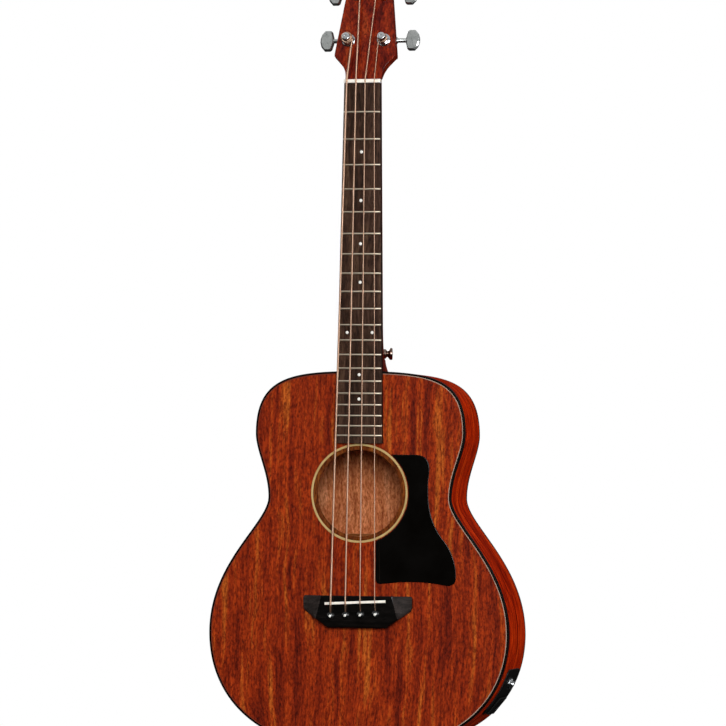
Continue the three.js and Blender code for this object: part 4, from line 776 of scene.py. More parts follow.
def neckShell():
    # polar superellipse sections: r = (|cos|^n + |sin|^n)^(-1/n), scaled to half width and depth, narrowed
    # towards the back in the heel with a flare (1 - t)^2 at the body, and rounded in at the headstock's edges
    foot, reach = neckShape["heelFoot"], neckShape["heelReach"]
    thin, thick = neckShape["thickness"], neckShape["thicknessAtHeel"]
    oval, heelOval = neckShape["roundness"], neckShape["heelRoundness"]
    heelFull, heelEnd = bodyTopZ + gap + foot, bodyTopZ + reach
    swing = 1 - np.cos(np.linspace(0, np.pi / 2, 26)[1:])
    z = np.r_[np.linspace(bodyTopZ + gap, heelFull, 5), heelFull + (reach - foot - gap) * swing,
              np.linspace(heelEnd, nutZ, 24)[1:]]
    left = np.clip((heelEnd - z) / (heelEnd - heelFull), 0, 1)
    share = 1 - np.sqrt(1 - left ** 2)
    plain = thin + (thick - thin) * (nutZ - z) / (nutZ - heelEnd)
    flare = neckShape["heelFlareShare"] * np.clip(1 - (z - bodyTopZ) / neckShape["heelFlare"], 0, 1) ** 2

    headHalf, headZ = headOutline().T
    squared = np.clip(headZ / neckShape["flareLength"] / neckShape["squareBy"], 0, 1)
    headPower = np.where(headZ > neckShape["flareLength"], neckShape["sideSquareness"],
                         oval + (neckShape["headSquareness"] - oval) * squared)

    half = np.r_[boardHalf(z), headHalf][:, None]
    depth = np.r_[plain + (neckShape["heelDepth"] - thick) * share,
                  neckShape["headThickness"] + 0 * headZ][:, None]
    power = np.r_[oval + (heelOval - oval) * share, headPower][:, None]
    narrow = np.r_[(1 - neckShape["heelCapShare"]) * share * (1 - flare), 0 * headZ][:, None]
    ease = np.r_[0 * z, neckShape["headEdge"] * np.clip(headZ / neckShape["easeBy"], 0, 1)][:, None]

    angle = np.pi * (1 - (1 - np.cos(np.pi * np.linspace(0, 1, 73))) / 2)
    c, s = np.abs(np.cos(angle)), np.abs(np.sin(angle))
    radius = (c ** power + s ** power) ** (-1 / power)
    down = radius * s
    x = half * radius * np.cos(angle) * (1 - narrow * down)
    y = depth * down
    near = np.clip(ease - y, 0, None)
    tuck = ease - np.sqrt(np.clip(ease ** 2 - near ** 2, 0, None))
    x = np.sign(x) * np.clip(np.abs(x) - tuck, 0, None)
    grid = np.stack([x, y, np.broadcast_to(np.r_[z, headZ][:, None], x.shape)], -1)
    grid[:len(z), :, 1] += frontY + hair
    grid[len(z):] = headPlace(grid[len(z):])
    return gridShell(grid, closeCols=True, caps=True)


# Nut, with a round-bottomed slot for each string
nutShape = {
    "length": 5,
    "height": 8.4,
    "slotRise": 1.5,
    "slotLength": 3.8,           # over which the string lies level
    "slotSlack": 0.12,
    "crown": 1.3,
    "edge": 0.4,
}


def nutShell():
    # a profile over the nut's length, carried across it; the top falls to y = slot floor + sqrt(R^2 - dx^2)
    half = board["nutWidth"] / 2
    low, high = nutZ + gap, nutZ + nutShape["length"] - gap
    top, foot, ease = frontY - nutShape["height"], frontY - footLift, nutShape["edge"]
    inset, drop = [part[1:] for part in quarter(ease, 6)]
    fallen, ahead = quarter(nutShape["crown"], 6)
    z = np.r_[low, low, low + inset, low + 2, high - ahead, high]
    y = np.r_[foot, top + ease, top + drop, top, top + 2 * fallen, foot]
    x = [np.linspace(-half + ease, half - ease, 40), [-half, half, 0.12 - half, half - 0.12]]
    slots = [(string["nutX"], string["nutY"], string["radius"] + nutShape["slotSlack"])
             for string in strings.values()]
    for middle, level, reach in slots:
        x.append(middle + reach * np.sin(np.linspace(-np.pi / 2, np.pi / 2, 11)))
        x.append([middle - reach - 0.01, middle + reach + 0.01])
    x = np.unique(np.round(np.concatenate(x), 4))[:, None]
    tuck = np.clip(ease - (half - np.abs(x)), 0, None) ** 2 * 2
    surface = y + 0 * x
    for middle, level, reach in slots:
        away = np.abs(x - middle)
        floor = level + np.sqrt(np.clip(reach ** 2 - away ** 2, 0, None))
        surface = np.where(away <= reach, np.maximum(y, floor), surface)
    grid = np.stack(np.broadcast_arrays(x, surface + tuck * (y < frontY - 1), z), -1)
    return gridShell(grid, closeCols=True, caps=True)


# Bridge
bridgeShape = {
    "compensation": 5,           # of the strings' length, at the saddle
    "aboveSaddle": 7.6,          # from the saddle's middle to the upper edge
    "half": 64.5,
    "backHalf": 35,
    "depth": 37,
    "shoulder": 15.5,
    "corner": 2.5,
    "height": 9.5,
    "wingTipHeight": 3.4,
    "scoopHigh": 42,             # where each end's scoop starts, from the middle, at the upper edge
    "scoopLow": 51,              # and at the lower edge
    "lowerChamfer": 2,
    "edge": 0.8,
}
saddleZ = nutZ - board["scaleLength"] - bridgeShape["compensation"]
bridgeTopZ = saddleZ + bridgeShape["aboveSaddle"]
bridgeFaceY = frontY - bridgeShape["height"]


def scoopStart(share):
    # distance from the middle where a scoop starts, at a share of the way from the lower to the upper edge
    return bridgeShape["scoopLow"] + (bridgeShape["scoopHigh"] - bridgeShape["scoopLow"]) * share


def scoopFaces(centres, normals):
    # 1 on the top faces that lie past the scoops' starts
    share = np.clip((centres[:, 2] - bridgeTopZ) / bridgeShape["depth"] + 1, 0, 1)
    return (np.abs(centres[:, 0]) > scoopStart(share)) & (normals[:, 1] < -0.4)


def bridgeShell():
    # a section of walls, rounded edges and chamfered lower edge, carried across; the top is a fan of rows
    # between its two edges. Past each scoop's slanted start the height falls as s^2.2 down to the thin tips.
    half, corner, edge = bridgeShape["half"], bridgeShape["corner"], bridgeShape["edge"]
    lowZ, shoulderZ = bridgeTopZ - bridgeShape["depth"], bridgeTopZ - bridgeShape["shoulder"]
    tip = half - corner * (1 - np.sin(np.linspace(0.1, np.pi / 2, 9)))
    side = np.r_[np.linspace(0, 35, 8), np.linspace(36, 61, 36), tip]
    x = np.r_[-side[:0:-1], side]
    away = np.abs(x)

    def topAt(share):
        fall = np.clip((half - away) / (half - scoopStart(share)), 0, 1) ** 2.2
        low, high = bridgeShape["wingTipHeight"], bridgeShape["height"]
        return frontY - low - (high - low) * fall

    past = np.clip(away - half + corner, 0, None) / corner
    tuck = corner * (1 - np.sqrt(np.clip(1 - past ** 2, 0, None)))
    low = tuck + np.interp(away, [0, bridgeShape["backHalf"], half - corner, half],
                           [lowZ, lowZ, shoulderZ - corner, shoulderZ])
    high = bridgeTopZ - tuck
    inset, drop = quarter(edge, 5)
    foot, lowTop = frontY - footLift, topAt(0)
    chamfer = np.minimum(bridgeShape["lowerChamfer"], (frontY - lowTop) / 3)
    rows = [(foot, low), (lowTop + chamfer, low), (lowTop + chamfer * 0.3, low + chamfer * 0.7)]
    rows += [(topAt(share), (low + chamfer * 2) * (1 - share) + (high - edge) * share)
             for share in np.linspace(0, 1, 9)]
    rows += [(topAt(1) + d, high - i) for d, i in zip(drop[-2::-1], inset[-2::-1])] + [(foot, high)]
    grid = np.array([np.stack(np.broadcast_arrays(x, y, z), 1) for y, z in rows])
    return gridShell(grid.transpose(1, 0, 2), closeCols=True, caps=True)


# Strings from the bass side: tuner side, post place across and up the headstock, diameter, turns on the post
strings = {
    "e": {"side": -1, "postX": 21, "rise": 48, "diameter": 2.4, "turns": 2.25},
    "a": {"side": -1, "postX": 15, "rise": 105, "diameter": 1.9, "turns": 2.5},
    "d": {"side": 1, "postX": 15, "rise": 105, "diameter": 1.45, "turns": 2.5},
    "g": {"side": 1, "postX": 21, "rise": 48, "diameter": 1.1, "turns": 2.75},
}
stringRun = {
    "nutSpacing": 10.9,
    "nutShift": -1.4,
    "saddleSpacing": 17.4,
    "saddleShift": -3.5,
    "saddleSlant": 0.047,
    "overSaddle": 1.5,           # over which the string lies level
    "heightAtSaddle": 12.9,      # underside of the strings, above the soundboard
    "pinSpacing": 17.8,
    "pinShift": -3.8,
    "pinDrop": 14.5,
    "pinRadius": 2.6,
    "plateThickness": 2.6,       # of the bridge plate that the balls pull against
    "ballRadius": 3,
    "bendReach": 1.6,
    "turnClear": 0.5,            # between one turn on the post and the next
    "endTurn": 0.9,              # radians over which the end winds in towards the post,
    "endPull": 0.55,             # by this share of the way
    "barrelRadius": 4.1,
    "barrelFoot": 4.3,
}
ballY = frontY + body["topThickness"] + stringRun["plateThickness"] + 2 * gap + stringRun["ballRadius"]

for place, string in zip((-1.5, -0.5, 0.5, 1.5), strings.values()):
    radius = string["diameter"] / 2
    post = np.array([string["side"] * string["postX"], 0, string["rise"]])
    coil = stringRun["barrelRadius"] + gap + radius
    foot = -(stringRun["barrelFoot"] + gap + radius)
    nutX = place * stringRun["nutSpacing"] + stringRun["nutShift"]
    nutY = boardTopY - nutShape["slotRise"] - radius
    saddleX = place * stringRun["saddleSpacing"] + stringRun["saddleShift"]
    saddleY = frontY - stringRun["heightAtSaddle"] - radius
    saddleAt = saddleZ + saddleX * stringRun["saddleSlant"]
    pinX = place * stringRun["pinSpacing"] + stringRun["pinShift"]
    pin = np.array([pinX, bridgeFaceY, saddleZ + pinX * stringRun["saddleSlant"] - stringRun["pinDrop"]])
    ball = np.array([pinX, ballY, pin[2] + stringRun["pinRadius"] + gap + radius])
    route = [headPlace(post + (-string["side"] * coil, foot, 0)), (nutX, nutY, nutZ + nutShape["slotLength"]),
             (nutX, nutY, nutZ), (saddleX, saddleY, saddleAt),
             (saddleX, saddleY, saddleAt - stringRun["overSaddle"]),
             (pinX, bridgeFaceY - radius, ball[2]), ball]
    string.update(radius=radius, post=post, coil=coil, foot=foot, nutX=nutX, nutY=nutY, pin=pin, ball=ball,
                  route=easeCorners(route, stringRun["bendReach"], 6))


def helixShell(string):
    # a wire along a helix round the post: post + coil (cos, 0, sin), falling by an even pitch; its last part
    # winds inwards
    turns = string["turns"]
    angle = np.linspace(0, turns * fullTurn, int(turns * 40) + 1)
    around = np.pi + angle if string["side"] > 0 else -angle
    inward = np.clip((angle - angle[-1]) / stringRun["endTurn"] + 1, 0, 1) ** 2
    spoke = np.stack([np.cos(around), 0 * angle, np.sin(around)], 1)
    path = string["post"] + (string["coil"] * (1 - stringRun["endPull"] * inward))[:, None] * spoke
    path[:, 1] = string["foot"] - angle / fullTurn * (string["diameter"] + stringRun["turnClear"])
    upright = np.broadcast_to((0, 1.0, 0), path.shape)
    return moved(sweptShell(path, string["radius"], spoke, upright), headPlace)


def ballShell(centre, radius):
    # a half circle, r sin(a) and r cos(a), turned round the ball's own axis
    turn = np.linspace(0, np.pi, 13)
    return latheShell(np.stack([radius * np.sin(turn), radius * np.cos(turn)], 1), centre, (0, 1, 0), 20)


# Saddle and pins
saddleShape = {
    "half": 36,
    "thickness": 3,
    "offset": -1.3,
    "arch": 0.8,
    "edge": 0.6,
    "endEase": 0.3,
    "footRise": 3.1,             # of its foot above the soundboard
}


def saddleShell():
    # a section rounded on top, carried along the saddle's slanted line, its crown falling with x squared
    half, thick, ease = saddleShape["half"], saddleShape["thickness"] / 2, saddleShape["endEase"]
    x = np.r_[-half, -half + ease, np.linspace(-half + 1, half - 1, 25), half - ease, half][:, None]
    tuck = np.clip(ease - (half - np.abs(x)), 0, None)
    crown = frontY - stringRun["heightAtSaddle"] + hair + saddleShape["arch"] * (x / half) ** 2 + tuck
    inset, drop = quarter(saddleShape["edge"], 6)
    foot = np.full((len(x), 1), frontY - saddleShape["footRise"])
    y = np.concatenate([foot, crown + drop, crown + drop[::-1], foot], 1)
    z = np.r_[thick, thick - inset, inset[::-1] - thick, -thick]
    lean = np.arctan(stringRun["saddleSlant"])
    middleZ = saddleZ + saddleShape["offset"] * stringRun["saddleSlant"]
    grid = np.stack([x * np.cos(lean) - z * np.sin(lean) + saddleShape["offset"], y,
                     x * np.sin(lean) + z * np.cos(lean) + middleZ], -1)
    return gridShell(grid, closeCols=True, caps=True)


pinShape = {
    "head": 4.4,
    "headHeight": 3.2,
    "collar": 1.2,
    "tip": 2,
    "length": 22,
    "dot": 1.8,
}


def pinShells(string):
    # turned pin: tapered stem, collar with a rounded lip, domed head; its dot is a small dome on the top
    head, high, collar = pinShape["head"], pinShape["headHeight"] + gap, pinShape["collar"] + gap
    stem, tip, length, dot = stringRun["pinRadius"], pinShape["tip"], pinShape["length"], pinShape["dot"]
    dome = [(0.55 + (head - 0.55) * np.cos(a), collar + (high - collar) * np.sin(a))
            for a in np.linspace(0, np.pi / 2, 9)]
    pin = [(0, -length), (tip, -length), (stem, -8), (stem, standOff), (head - 0.3, standOff), (head, gap),
           *dome, (0, high)]
    cap = [(0, high + 0.12), (dot * 0.7, high + 0.08), (dot, high - 0.25), (0, high - 0.5)]
    return [latheShell(profile, string["pin"], forward, sides)
            for profile, sides in ((pin, 40), (cap, 24))]


# Pickguard, placed from the middle of the soundhole
guard = {
    "thickness": 1.5,
    "ringGap": 1.2,
    "top": 45,
    "bridgeGap": 13.9,
    "right": 115.5,
    "inner": 20.5,
    "neckShare": 0.72,
    "cornerShare": 0.7,
    "innerCorner": 7,
    "edge": 0.6,
}


def guardOutline():
    # straight top, two S curves down the treble side, round lower corner, straight inner edge, the ring's arc
    radius = ringOuter + guard["ringGap"]
    start = np.arcsin(guard["top"] / radius)
    innerZ = -np.sqrt(radius ** 2 - guard["inner"] ** 2)
    end = np.arctan2(innerZ, guard["inner"])
    low, top = bridgeTopZ + guard["bridgeGap"], soundholeZ + guard["top"]
    right, inner = guard["right"], guard["inner"]
    neckX = right * guard["neckShare"]
    waistZ = (top + low) / 2
    corner = right * (1 - guard["cornerShare"]) / 2
    tight = guard["innerCorner"]
    shoulder = (right - corner * 0.84, waistZ - corner * 1.4)
    angle = np.linspace(end, start, 50)
    arc = np.stack([radius * np.cos(angle), soundholeZ + radius * np.sin(angle)], 1)
    loop = chain(
        bend([(neckX - corner, top), (neckX, top), (neckX, top - corner)], 14),
        bezier([(neckX, top - corner), (neckX - corner / 4, waistZ + corner * 1.1),
                (neckX + corner / 12, waistZ - corner / 4), shoulder], 30),
        bezier([shoulder, (right - corner / 3, waistZ - corner * 2), (right, low + corner * 1.5),
                (right, low + corner / 2)], 18),
        bend([(right, low + corner / 2), (right, low - corner / 4), (right - corner, low)], 12),
        bend([(right - corner, low), ((right + inner) / 2, low + corner / 3), (inner + tight, low)], 20),
        bend([(inner + tight, low), (inner, low), (inner, low + tight)], 12),
        arc)
    return easeCorners(np.vstack([loop, loop[:1]]), 1.2, 4)[:-1]


# Tuners, in the headstock's frame
tuner = {
    "postRadius": 3.3,
    "postHeight": 15.6,
    "capHeight": 2,
    "capRadius": 4.6,
    "postSeat": 6,
    "waistHollow": 0.35,
    "washerRadius": 8,
    "washerThickness": 1.3,
    "bushHeight": 3.7,
    "bushRadius": 6,
    "housingWidth": 18,
    "housingDepth": 12,
    "housingBelow": 9,
    "housingAbove": 15,
    "housingCorner": 3,
    "housingEdge": 1.6,
    "wormOffset": 6.5,
    "shaftRadius": 2.6,
    "shaftSeat": 10,
    "collarRadius": 4.2,
    "collarLength": 2.2,
    "buttonStart": 22.3,
    "buttonWidth": 16,
    "buttonHeight": 24.5,
    "buttonThickness": 6.6,
    "buttonBevel": 1.5,
    "buttonShares": ((0, 0.14), (0.13, 0.44), (0.25, 0.5), (0.66, 0.5), (0.9, 0.32), (1, 0.09)),
}
shaftY = neckShape["headThickness"] + gap + tuner["housingDepth"] / 2


def postShell(string):
    # turned post: seat, barrel with a slightly hollow waist for the turns, and a rounded cap
    seat = -(neckShape["headThickness"] + gap + tuner["postSeat"])
    radius, wide, top = tuner["postRadius"], tuner["capRadius"], tuner["postHeight"]
    cap, barrel, foot = top - tuner["capHeight"], stringRun["barrelRadius"], stringRun["barrelFoot"]
    waist = [(barrel - tuner["waistHollow"] * np.sin(a), foot + (cap - foot) * a / np.pi)
             for a in np.linspace(0.05, np.pi - 0.05, 11)]
    profile = [(0, seat), (radius, seat), (radius, foot - gap), *waist, (wide - 0.3, cap), (wide, cap + 0.3),
               *roundedRim(wide, top), (1.7, top), (1.5, top - 0.5), (0, top - 0.6)]
    return moved(latheShell(profile, string["post"], forward), headPlace)


def bushingShell(string):
    # turned washer and threaded collar, a ring round the post
    bore, wide, collar = tuner["postRadius"] + gap, tuner["washerRadius"], tuner["bushRadius"]
    thick, top = tuner["washerThickness"], tuner["bushHeight"]
    face = gap + thick
    profile = [(bore, standOff), (wide - 0.2, standOff), (wide, gap), (wide, gap + thick * 0.45),
               (wide - 0.3, gap + thick * 0.75), (wide - 0.8, face), (collar + 0.2, face),
               (collar, face + 0.2), (collar, top - 0.7), (collar - 0.2, top - 0.3), (collar - 0.7, top),
               (bore + 0.2, top), (bore, top - 0.2)]
    return moved(latheShell(profile, string["post"], forward, ring=True), headPlace)


def roundedBox(x0, x1, z0, z1, corner, steps=8):
    # four quarter circles joined by straight edges, as x and z
    turn = np.linspace(0, np.pi / 2, steps)
    loops = []
    for x, z, start in ((x1 - corner, z1 - corner, 0), (x0 + corner, z1 - corner, 1),
                        (x0 + corner, z0 + corner, 2), (x1 - corner, z0 + corner, 3)):
        angle = turn + start * np.pi / 2
        loops.append(np.stack([x + corner * np.cos(angle), z + corner * np.sin(angle)], 1))
    return np.vstack(loops)


def housingShells(string):
    # closed gear case behind the headstock, and its cover's screw
    x, z = string["post"][::2]
    half, near = tuner["housingWidth"] / 2, neckShape["headThickness"] + standOff
    far = near + tuner["housingDepth"] + 0.2
    loop = roundedBox(x - half, x + half, z - tuner["housingBelow"], z + tuner["housingAbove"],
                      tuner["housingCorner"])
    case = plateShell(loop, near, far, tuner["housingEdge"], 6)
    screw = [(0, 0.1), (0.4, 0.1), (0.5, 0.45), (2.2, 0.55), (2.6, 0.3), (2.6, -0.5), (0, -0.5)]
    return [moved(case, headPlace), moved(latheShell(screw, (x, far - 0.15, z), (0, 1, 0), 32), headPlace)]


def buttonShells(string):
    # a polygon of broad facets with a chamfer on both faces, on a turned shaft with its collar
    corner = np.array(tuner["buttonShares"]) * (tuner["buttonWidth"], tuner["buttonHeight"])
    loop = np.vstack([corner, corner[::-1] * (1, -1)]) + (tuner["buttonStart"], 0)
    loop = easeCorners(np.vstack([loop[-1:], loop, loop[:1]]), 0.6, 4)[1:-1]
    half = tuner["buttonThickness"] / 2
    head = plateShell(loop, -half, half, tuner["buttonBevel"], 1, 0.4)
    case = tuner["housingWidth"] / 2
    near, far, end = case + gap, case + gap + tuner["collarLength"], tuner["buttonStart"] + 3
    shaft, collar = tuner["shaftRadius"], tuner["collarRadius"]
    profile = [(0, case - tuner["shaftSeat"]), (shaft, case - tuner["shaftSeat"]), (shaft, near),
               (collar - 0.3, near), (collar, near + 0.3), (collar, far - 0.4), (collar - 0.5, far),
               (shaft + 0.4, far + 0.6), (shaft, far + 1.4), (shaft, end), (0, end)]
    stem = latheShell(profile, (0, 0, 0), (1, 0, 0), 36)
    place = string["post"] + (0, shaftY, tuner["wormOffset"])
    return [moved(shell, lambda points: headPlace(points * (string["side"], 1, 1) + place))
            for shell in (head, stem)]


# Strap buttons
strapButton = {
    "endRadius": 7,
    "waistRadius": 3.6,
    "baseRadius": 5.6,
    "flange": 2.4,
    "endHeight": 12.7,
    "heelHeight": 10,
}


def strapProfile(height, foot):
    # base, hollow waist on a half cosine, flange with a rounded rim
    base, waist, end = strapButton["baseRadius"], strapButton["waistRadius"], strapButton["endRadius"]
    low, high = strapButton["flange"] * 0.7, height - strapButton["flange"]
    t = np.linspace(0, 1, 15)
    neck = waist + np.where(t < 0.4, (base - waist) * (1 + np.cos(np.pi * t / 0.4)) / 2,
                            (end - waist) * (1 - np.cos(np.pi * (t - 0.4) / 0.6)) / 2)
    return [(0, foot), (base, foot), *zip(neck, low + (high - low) * t), *roundedRim(end, height),
            (2.6, height), (2.3, height - 0.5), (0, height - 0.6)]


# Battery plate with its drawer opening, the box behind it, and the output jack
def platePlace(along, across, rise):
    # a point on the bent side: the side's own curve at a distance along it, raised along its normal
    point, out = onSide(along)
    flat = point + out * np.asarray(rise)[..., None]
    return np.stack([flat[..., 0], frontY + plateInset + across, flat[..., 1]], -1)


def plateShells():
    # loops from the opening's rim to the plate's rounded outline, raised from the side, and the box's walls
    half, wide, edge = boxPlate["length"] / 2, boxPlate["width"] / 2, boxPlate["edge"]
    drawer = np.array([boxPlate["drawerWidth"], boxPlate["drawerHeight"]]) / 2
    broad, high = drawer + boxPlate["ease"]
    back, thick = gap * 0.4, gap + boxPlate["thickness"]
    along = drawerAt - plateAt
    outer = roundedBox(-half, half, -wide, wide, boxPlate["corner"], 12)
    hole = roundedBox(along - high, along + high, -broad, broad, boxPlate["holeCorner"], 4)
    outer, hole = [evenly(np.vstack([loop, loop[:1]]), 161)[:-1] for loop in (outer, hole)]
    wanted, have = [np.arctan2(loop[:, 1], loop[:, 0] - along) for loop in (outer, hole)]
    order = np.argsort(have)
    hole = np.stack([np.interp(wanted, have[order], hole[order, k], period=fullTurn) for k in (0, 1)], 1)
    inward = inwardOf(outer)
    rows = [(hole, gap), (hole, thick)]
    rows += [(hole + (outer + inward * edge - hole) * share, thick) for share in (0.34, 0.67)]
    rows += [(outer + inward * inset, thick - drop) for drop, inset in zip(*quarter(edge, 5))]
    rows += [(hole + (outer - hole) * share, back) for share in (1, 0.67, 0.34)]
    grid = np.array([platePlace(*loop.T, np.full(len(loop), level)) for loop, level in rows])

    wall, long = boxPlate["wall"], boxPlate["drawerLength"]
    inner = np.array([(-1, -1), (1, -1), (1, 1), (-1, 1)]) * drawer
    walls = inner + np.sign(inner) * wall
    loops = [(-long, inner * 0), (-long, inner), (gap, inner), (gap, walls), (-long - wall, walls),
             (-long - wall, inner * 0)]
    box = np.array([inFrame(drawerPlace, np.insert(loop, 0, x, axis=1)) for x, loop in loops])
    return gridShell(grid, closeCols=True, closeRows=True), gridShell(box, closeCols=True)


jackShape = {
    "bore": 3.3,
    "tube": 4.6,
    "barrel": 6.5,
    "nutCorner": 7.2,
    "nutHeight": 2.4,
    "washerWider": 0.6,
    "washerThickness": 0.25,
    "reach": 4.6,
    "length": 23,
    "threadPitch": 0.8,
    "threadDepth": 0.35,
}


def jackShells():
    # a turned barrel and tube, its thread as rings of a saw profile; a chamfered hexagon nut and a washer
    bore, tube, barrel, length = [jackShape[key] for key in ("bore", "tube", "barrel", "length")]
    face = gap + boxPlate["thickness"] + hair
    reach = 2 * gap + boxPlate["thickness"] + jackShape["reach"]
    steps = np.arange(face + jackShape["nutHeight"] + 0.3, reach - 0.5, jackShape["threadPitch"] / 2)
    thread = [(tube - jackShape["threadDepth"] * (k % 2), h) for k, h in enumerate(steps)]
    sleeve = [(bore, -length), (barrel, -length), (barrel, -0.8), (tube, -0.8), *thread,
              (tube - jackShape["threadDepth"], reach), (bore + 0.5, reach), (bore, reach - 0.5)]
    wide, low = jackShape["nutCorner"], face + jackShape["washerThickness"]
    high = low + jackShape["nutHeight"]
    hexagon = [(tube - 0.1, low), (wide, low), (wide, high - 0.5), (wide - 0.6, high), (tube - 0.1, high)]
    rim = wide + jackShape["washerWider"]
    washer = [(tube - 0.1, face), (rim, face), (rim, face + 0.2), (rim - 0.2, face + 0.3),
              (tube - 0.1, face + 0.3)]
    return [latheShell(profile, jackPlace[0], jackPlace[1], sides, ring=True)
            for profile, sides in ((sleeve, 48), (hexagon, 6), (washer, 48))]


print("shapes defined")

# Woods. A layer is noise on coordinates divided by its real size in millimetres, long along the grain.
mahoganyFigure = {
    "ribbon": (9, 9, 260),           # stripes of the interlocked grain
    "streak": (2.2, 2.2, 22),        # narrow darker and paler growth streaks
    "fleck": (2.2, 2.2, 5),          # short mottle across the stripes
    "pore": (1.2, 1.2, 6),           # open pores, drawn four times wider than the real 0.3 mm to show
}
rimFigure = {"ribbon": (260, 9, 9), "streak": (60, 2.2, 2.2), "fleck": (22, 5, 5), "pore": (11, 1.2, 1.2)}
spruceFigure = {"ribbon": (300, 2.4, 2.4), "streak": (60, 1.2, 1.2), "fleck": (18, 5, 5),
                "pore": (9, 0.9, 0.9)}
rosewoodFigure = {"ribbon": (5, 5, 190), "streak": (1.6, 1.6, 46), "fleck": (3, 3, 12), "pore": (1.1, 1.1, 9)}
bridgeFigure = {"ribbon": (120, 4, 4), "streak": (30, 1.2, 1.2), "fleck": (12, 4, 4), "pore": (9, 0.9, 0.9)}
tintLayers = {"streak": (0.5, 0.38, 0.6), "fleck": (0.7, 0.36, 0.6), "pore": (0.7, 0.34, 0.43)}


def woodFinish(name, stops, tints, surface, figure=mahoganyFigure, onRim=False, relief=0.25):
    # the ribbon's ramp is the ground colour; streaks, flecks and pores are tints multiplied over it by their
    # share, each fading out between two values of its noise, and the pores are a shallow bump too
    material, tree, shader = newMaterial(name, surface)
    source = addNode(tree, "UVMap", {"uv_map": "lengthAndTurn"}) if onRim else addNode(tree, "TexCoord")
    place = source.outputs["UV" if onRim else "Object"]
    slow = addNode(tree, "TexNoise", {"Scale": 9.0, "Detail": 1.0}, {"Vector": place})
    drift = addNode(tree, "VectorMath", {"operation": "SCALE", "Scale": 0.02}, {0: slow})
    waved = addNode(tree, "VectorMath", {"operation": "ADD"}, {0: place, 1: drift})

    def grain(layer, ramp):
        cell = addNode(tree, "VectorMath", {"operation": "DIVIDE", 1: [k * mm for k in figure[layer]]},
                       {0: waved})
        noise = addNode(tree, "TexNoise", {"Scale": 1.0, "Detail": 3.0, "Roughness": 0.6}, {"Vector": cell})
        return addNode(tree, "ValToRGB", {"stops": ramp}, {"Fac": noise})

    colour = grain("ribbon", stops)
    for tint, (layer, (share, low, high)) in zip(tints, tintLayers.items()):
        tone = grain(layer, {low: tint, high: "#ffffff"})
        colour = addNode(tree, "Mix", {"data_type": "RGBA", "blend_type": "MULTIPLY", 0: share},
                         {6: colour, 7: tone}).outputs[2]
    bump = addNode(tree, "Bump", {"Strength": relief, "Distance": 0.0003}, {"Height": tone})
    linkInto(tree, shader, {"Base Color": colour, "Normal": bump})
    return material


# mahogany, planed and sprayed with satin lacquer: ribbon stripes and dark open pores, almost no sheen
topMahogany = woodFinish(
    "mahoganySatinLacquer", {0.34: "#701e09", 0.45: "#962f0c", 0.55: "#a73a0e", 0.67: "#c0601f"},
    ("#84503c", "#7d4a3a", "#6a3420"), {"Roughness": 0.45, "IOR": 1.5, "Specular IOR Level": 0.05})
# the same top round the soundhole's edge, painted a duller, darker brown as the shade that falls where the
# top turns into the hole
soundholeEdgeShade = woodFinish(
    "soundholeEdgePaintedShade", {0.34: "#52260f", 0.45: "#703714", 0.55: "#7e4218", 0.67: "#8f5420"},
    ("#84503c", "#7d4a3a", "#6a3420"), {"Roughness": 0.5, "IOR": 1.5, "Specular IOR Level": 0.03})
# mahogany bent for the rim and lacquered to a gloss: redder, with soft highlights along the bend
sideMahogany = woodFinish(
    "mahoganyGlossLacquer", {0.34: "#8c1a02", 0.45: "#b82a04", 0.56: "#cc3506", 0.68: "#de4e10"},
    ("#824634", "#95604c", "#5c230f"),
    {"Roughness": 0.45, "IOR": 1.5, "Specular IOR Level": 0.0, "Coat Weight": 0.12, "Coat Roughness": 0.16},
    rimFigure, onRim=True, relief=0.04)
# the same lacquered mahogany as a flat plate, its grain up the body: clearer reflections
backMahogany = woodFinish(
    "mahoganyGlossPlate", {0.34: "#7a2008", 0.45: "#a8370c", 0.56: "#be4512", 0.68: "#d86a24"},
    ("#824634", "#95604c", "#5c230f"),
    {"Roughness": 0.45, "IOR": 1.5, "Specular IOR Level": 0.03, "Coat Weight": 0.6, "Coat Roughness": 0.06},
    relief=0.04)
# mahogany carved for the neck, stained dark red and lacquered to a gloss
neckMahogany = woodFinish(
    "stainedNeckMahogany", {0.34: "#5a1005", 0.46: "#7d200a", 0.57: "#902c0e", 0.7: "#a84319"},
    ("#7c4636", "#8f5c4a", "#54200f"),
    {"Roughness": 0.42, "IOR": 1.5, "Specular IOR Level": 0.02, "Coat Weight": 0.25, "Coat Roughness": 0.07},
    relief=0.04)
# mahogany left bare inside the body: paler, dry and matt
bareMahogany = woodFinish(
    "bareInnerMahogany", {0.34: "#bc7044", 0.47: "#dc8a58", 0.58: "#ea9864", 0.7: "#f4aa78"},
    ("#b88a72", "#a87a62", "#94604a"), {"Roughness": 0.8, "IOR": 1.45, "Specular IOR Level": 0.1})
# quarter-sawn spruce, left bare, browned partly for age and partly as painted shade for the braces seen in
# the dark of the soundhole: even lines along the grain
bareSpruce = woodFinish(
    "bareSpruce", {0.3: "#9c6238", 0.5: "#b47a4c", 0.7: "#c68e60"}, ("#c8a478", "#d4b890", "#b08a58"),
    {"Roughness": 0.75, "IOR": 1.45, "Specular IOR Level": 0.1}, spruceFigure, relief=0.15)
# rosewood fretboard, planed and oiled: dark brown with paler brown streaks and long open pores
boardRosewood = woodFinish(
    "oiledRosewood", {0.32: "#2f2018", 0.46: "#422d22", 0.57: "#4d372b", 0.7: "#5e4736"},
    ("#8a7466", "#94806f", "#2a1b14"),
    {"Roughness": 0.5, "IOR": 1.48, "Specular IOR Level": 0.06}, rosewoodFigure)
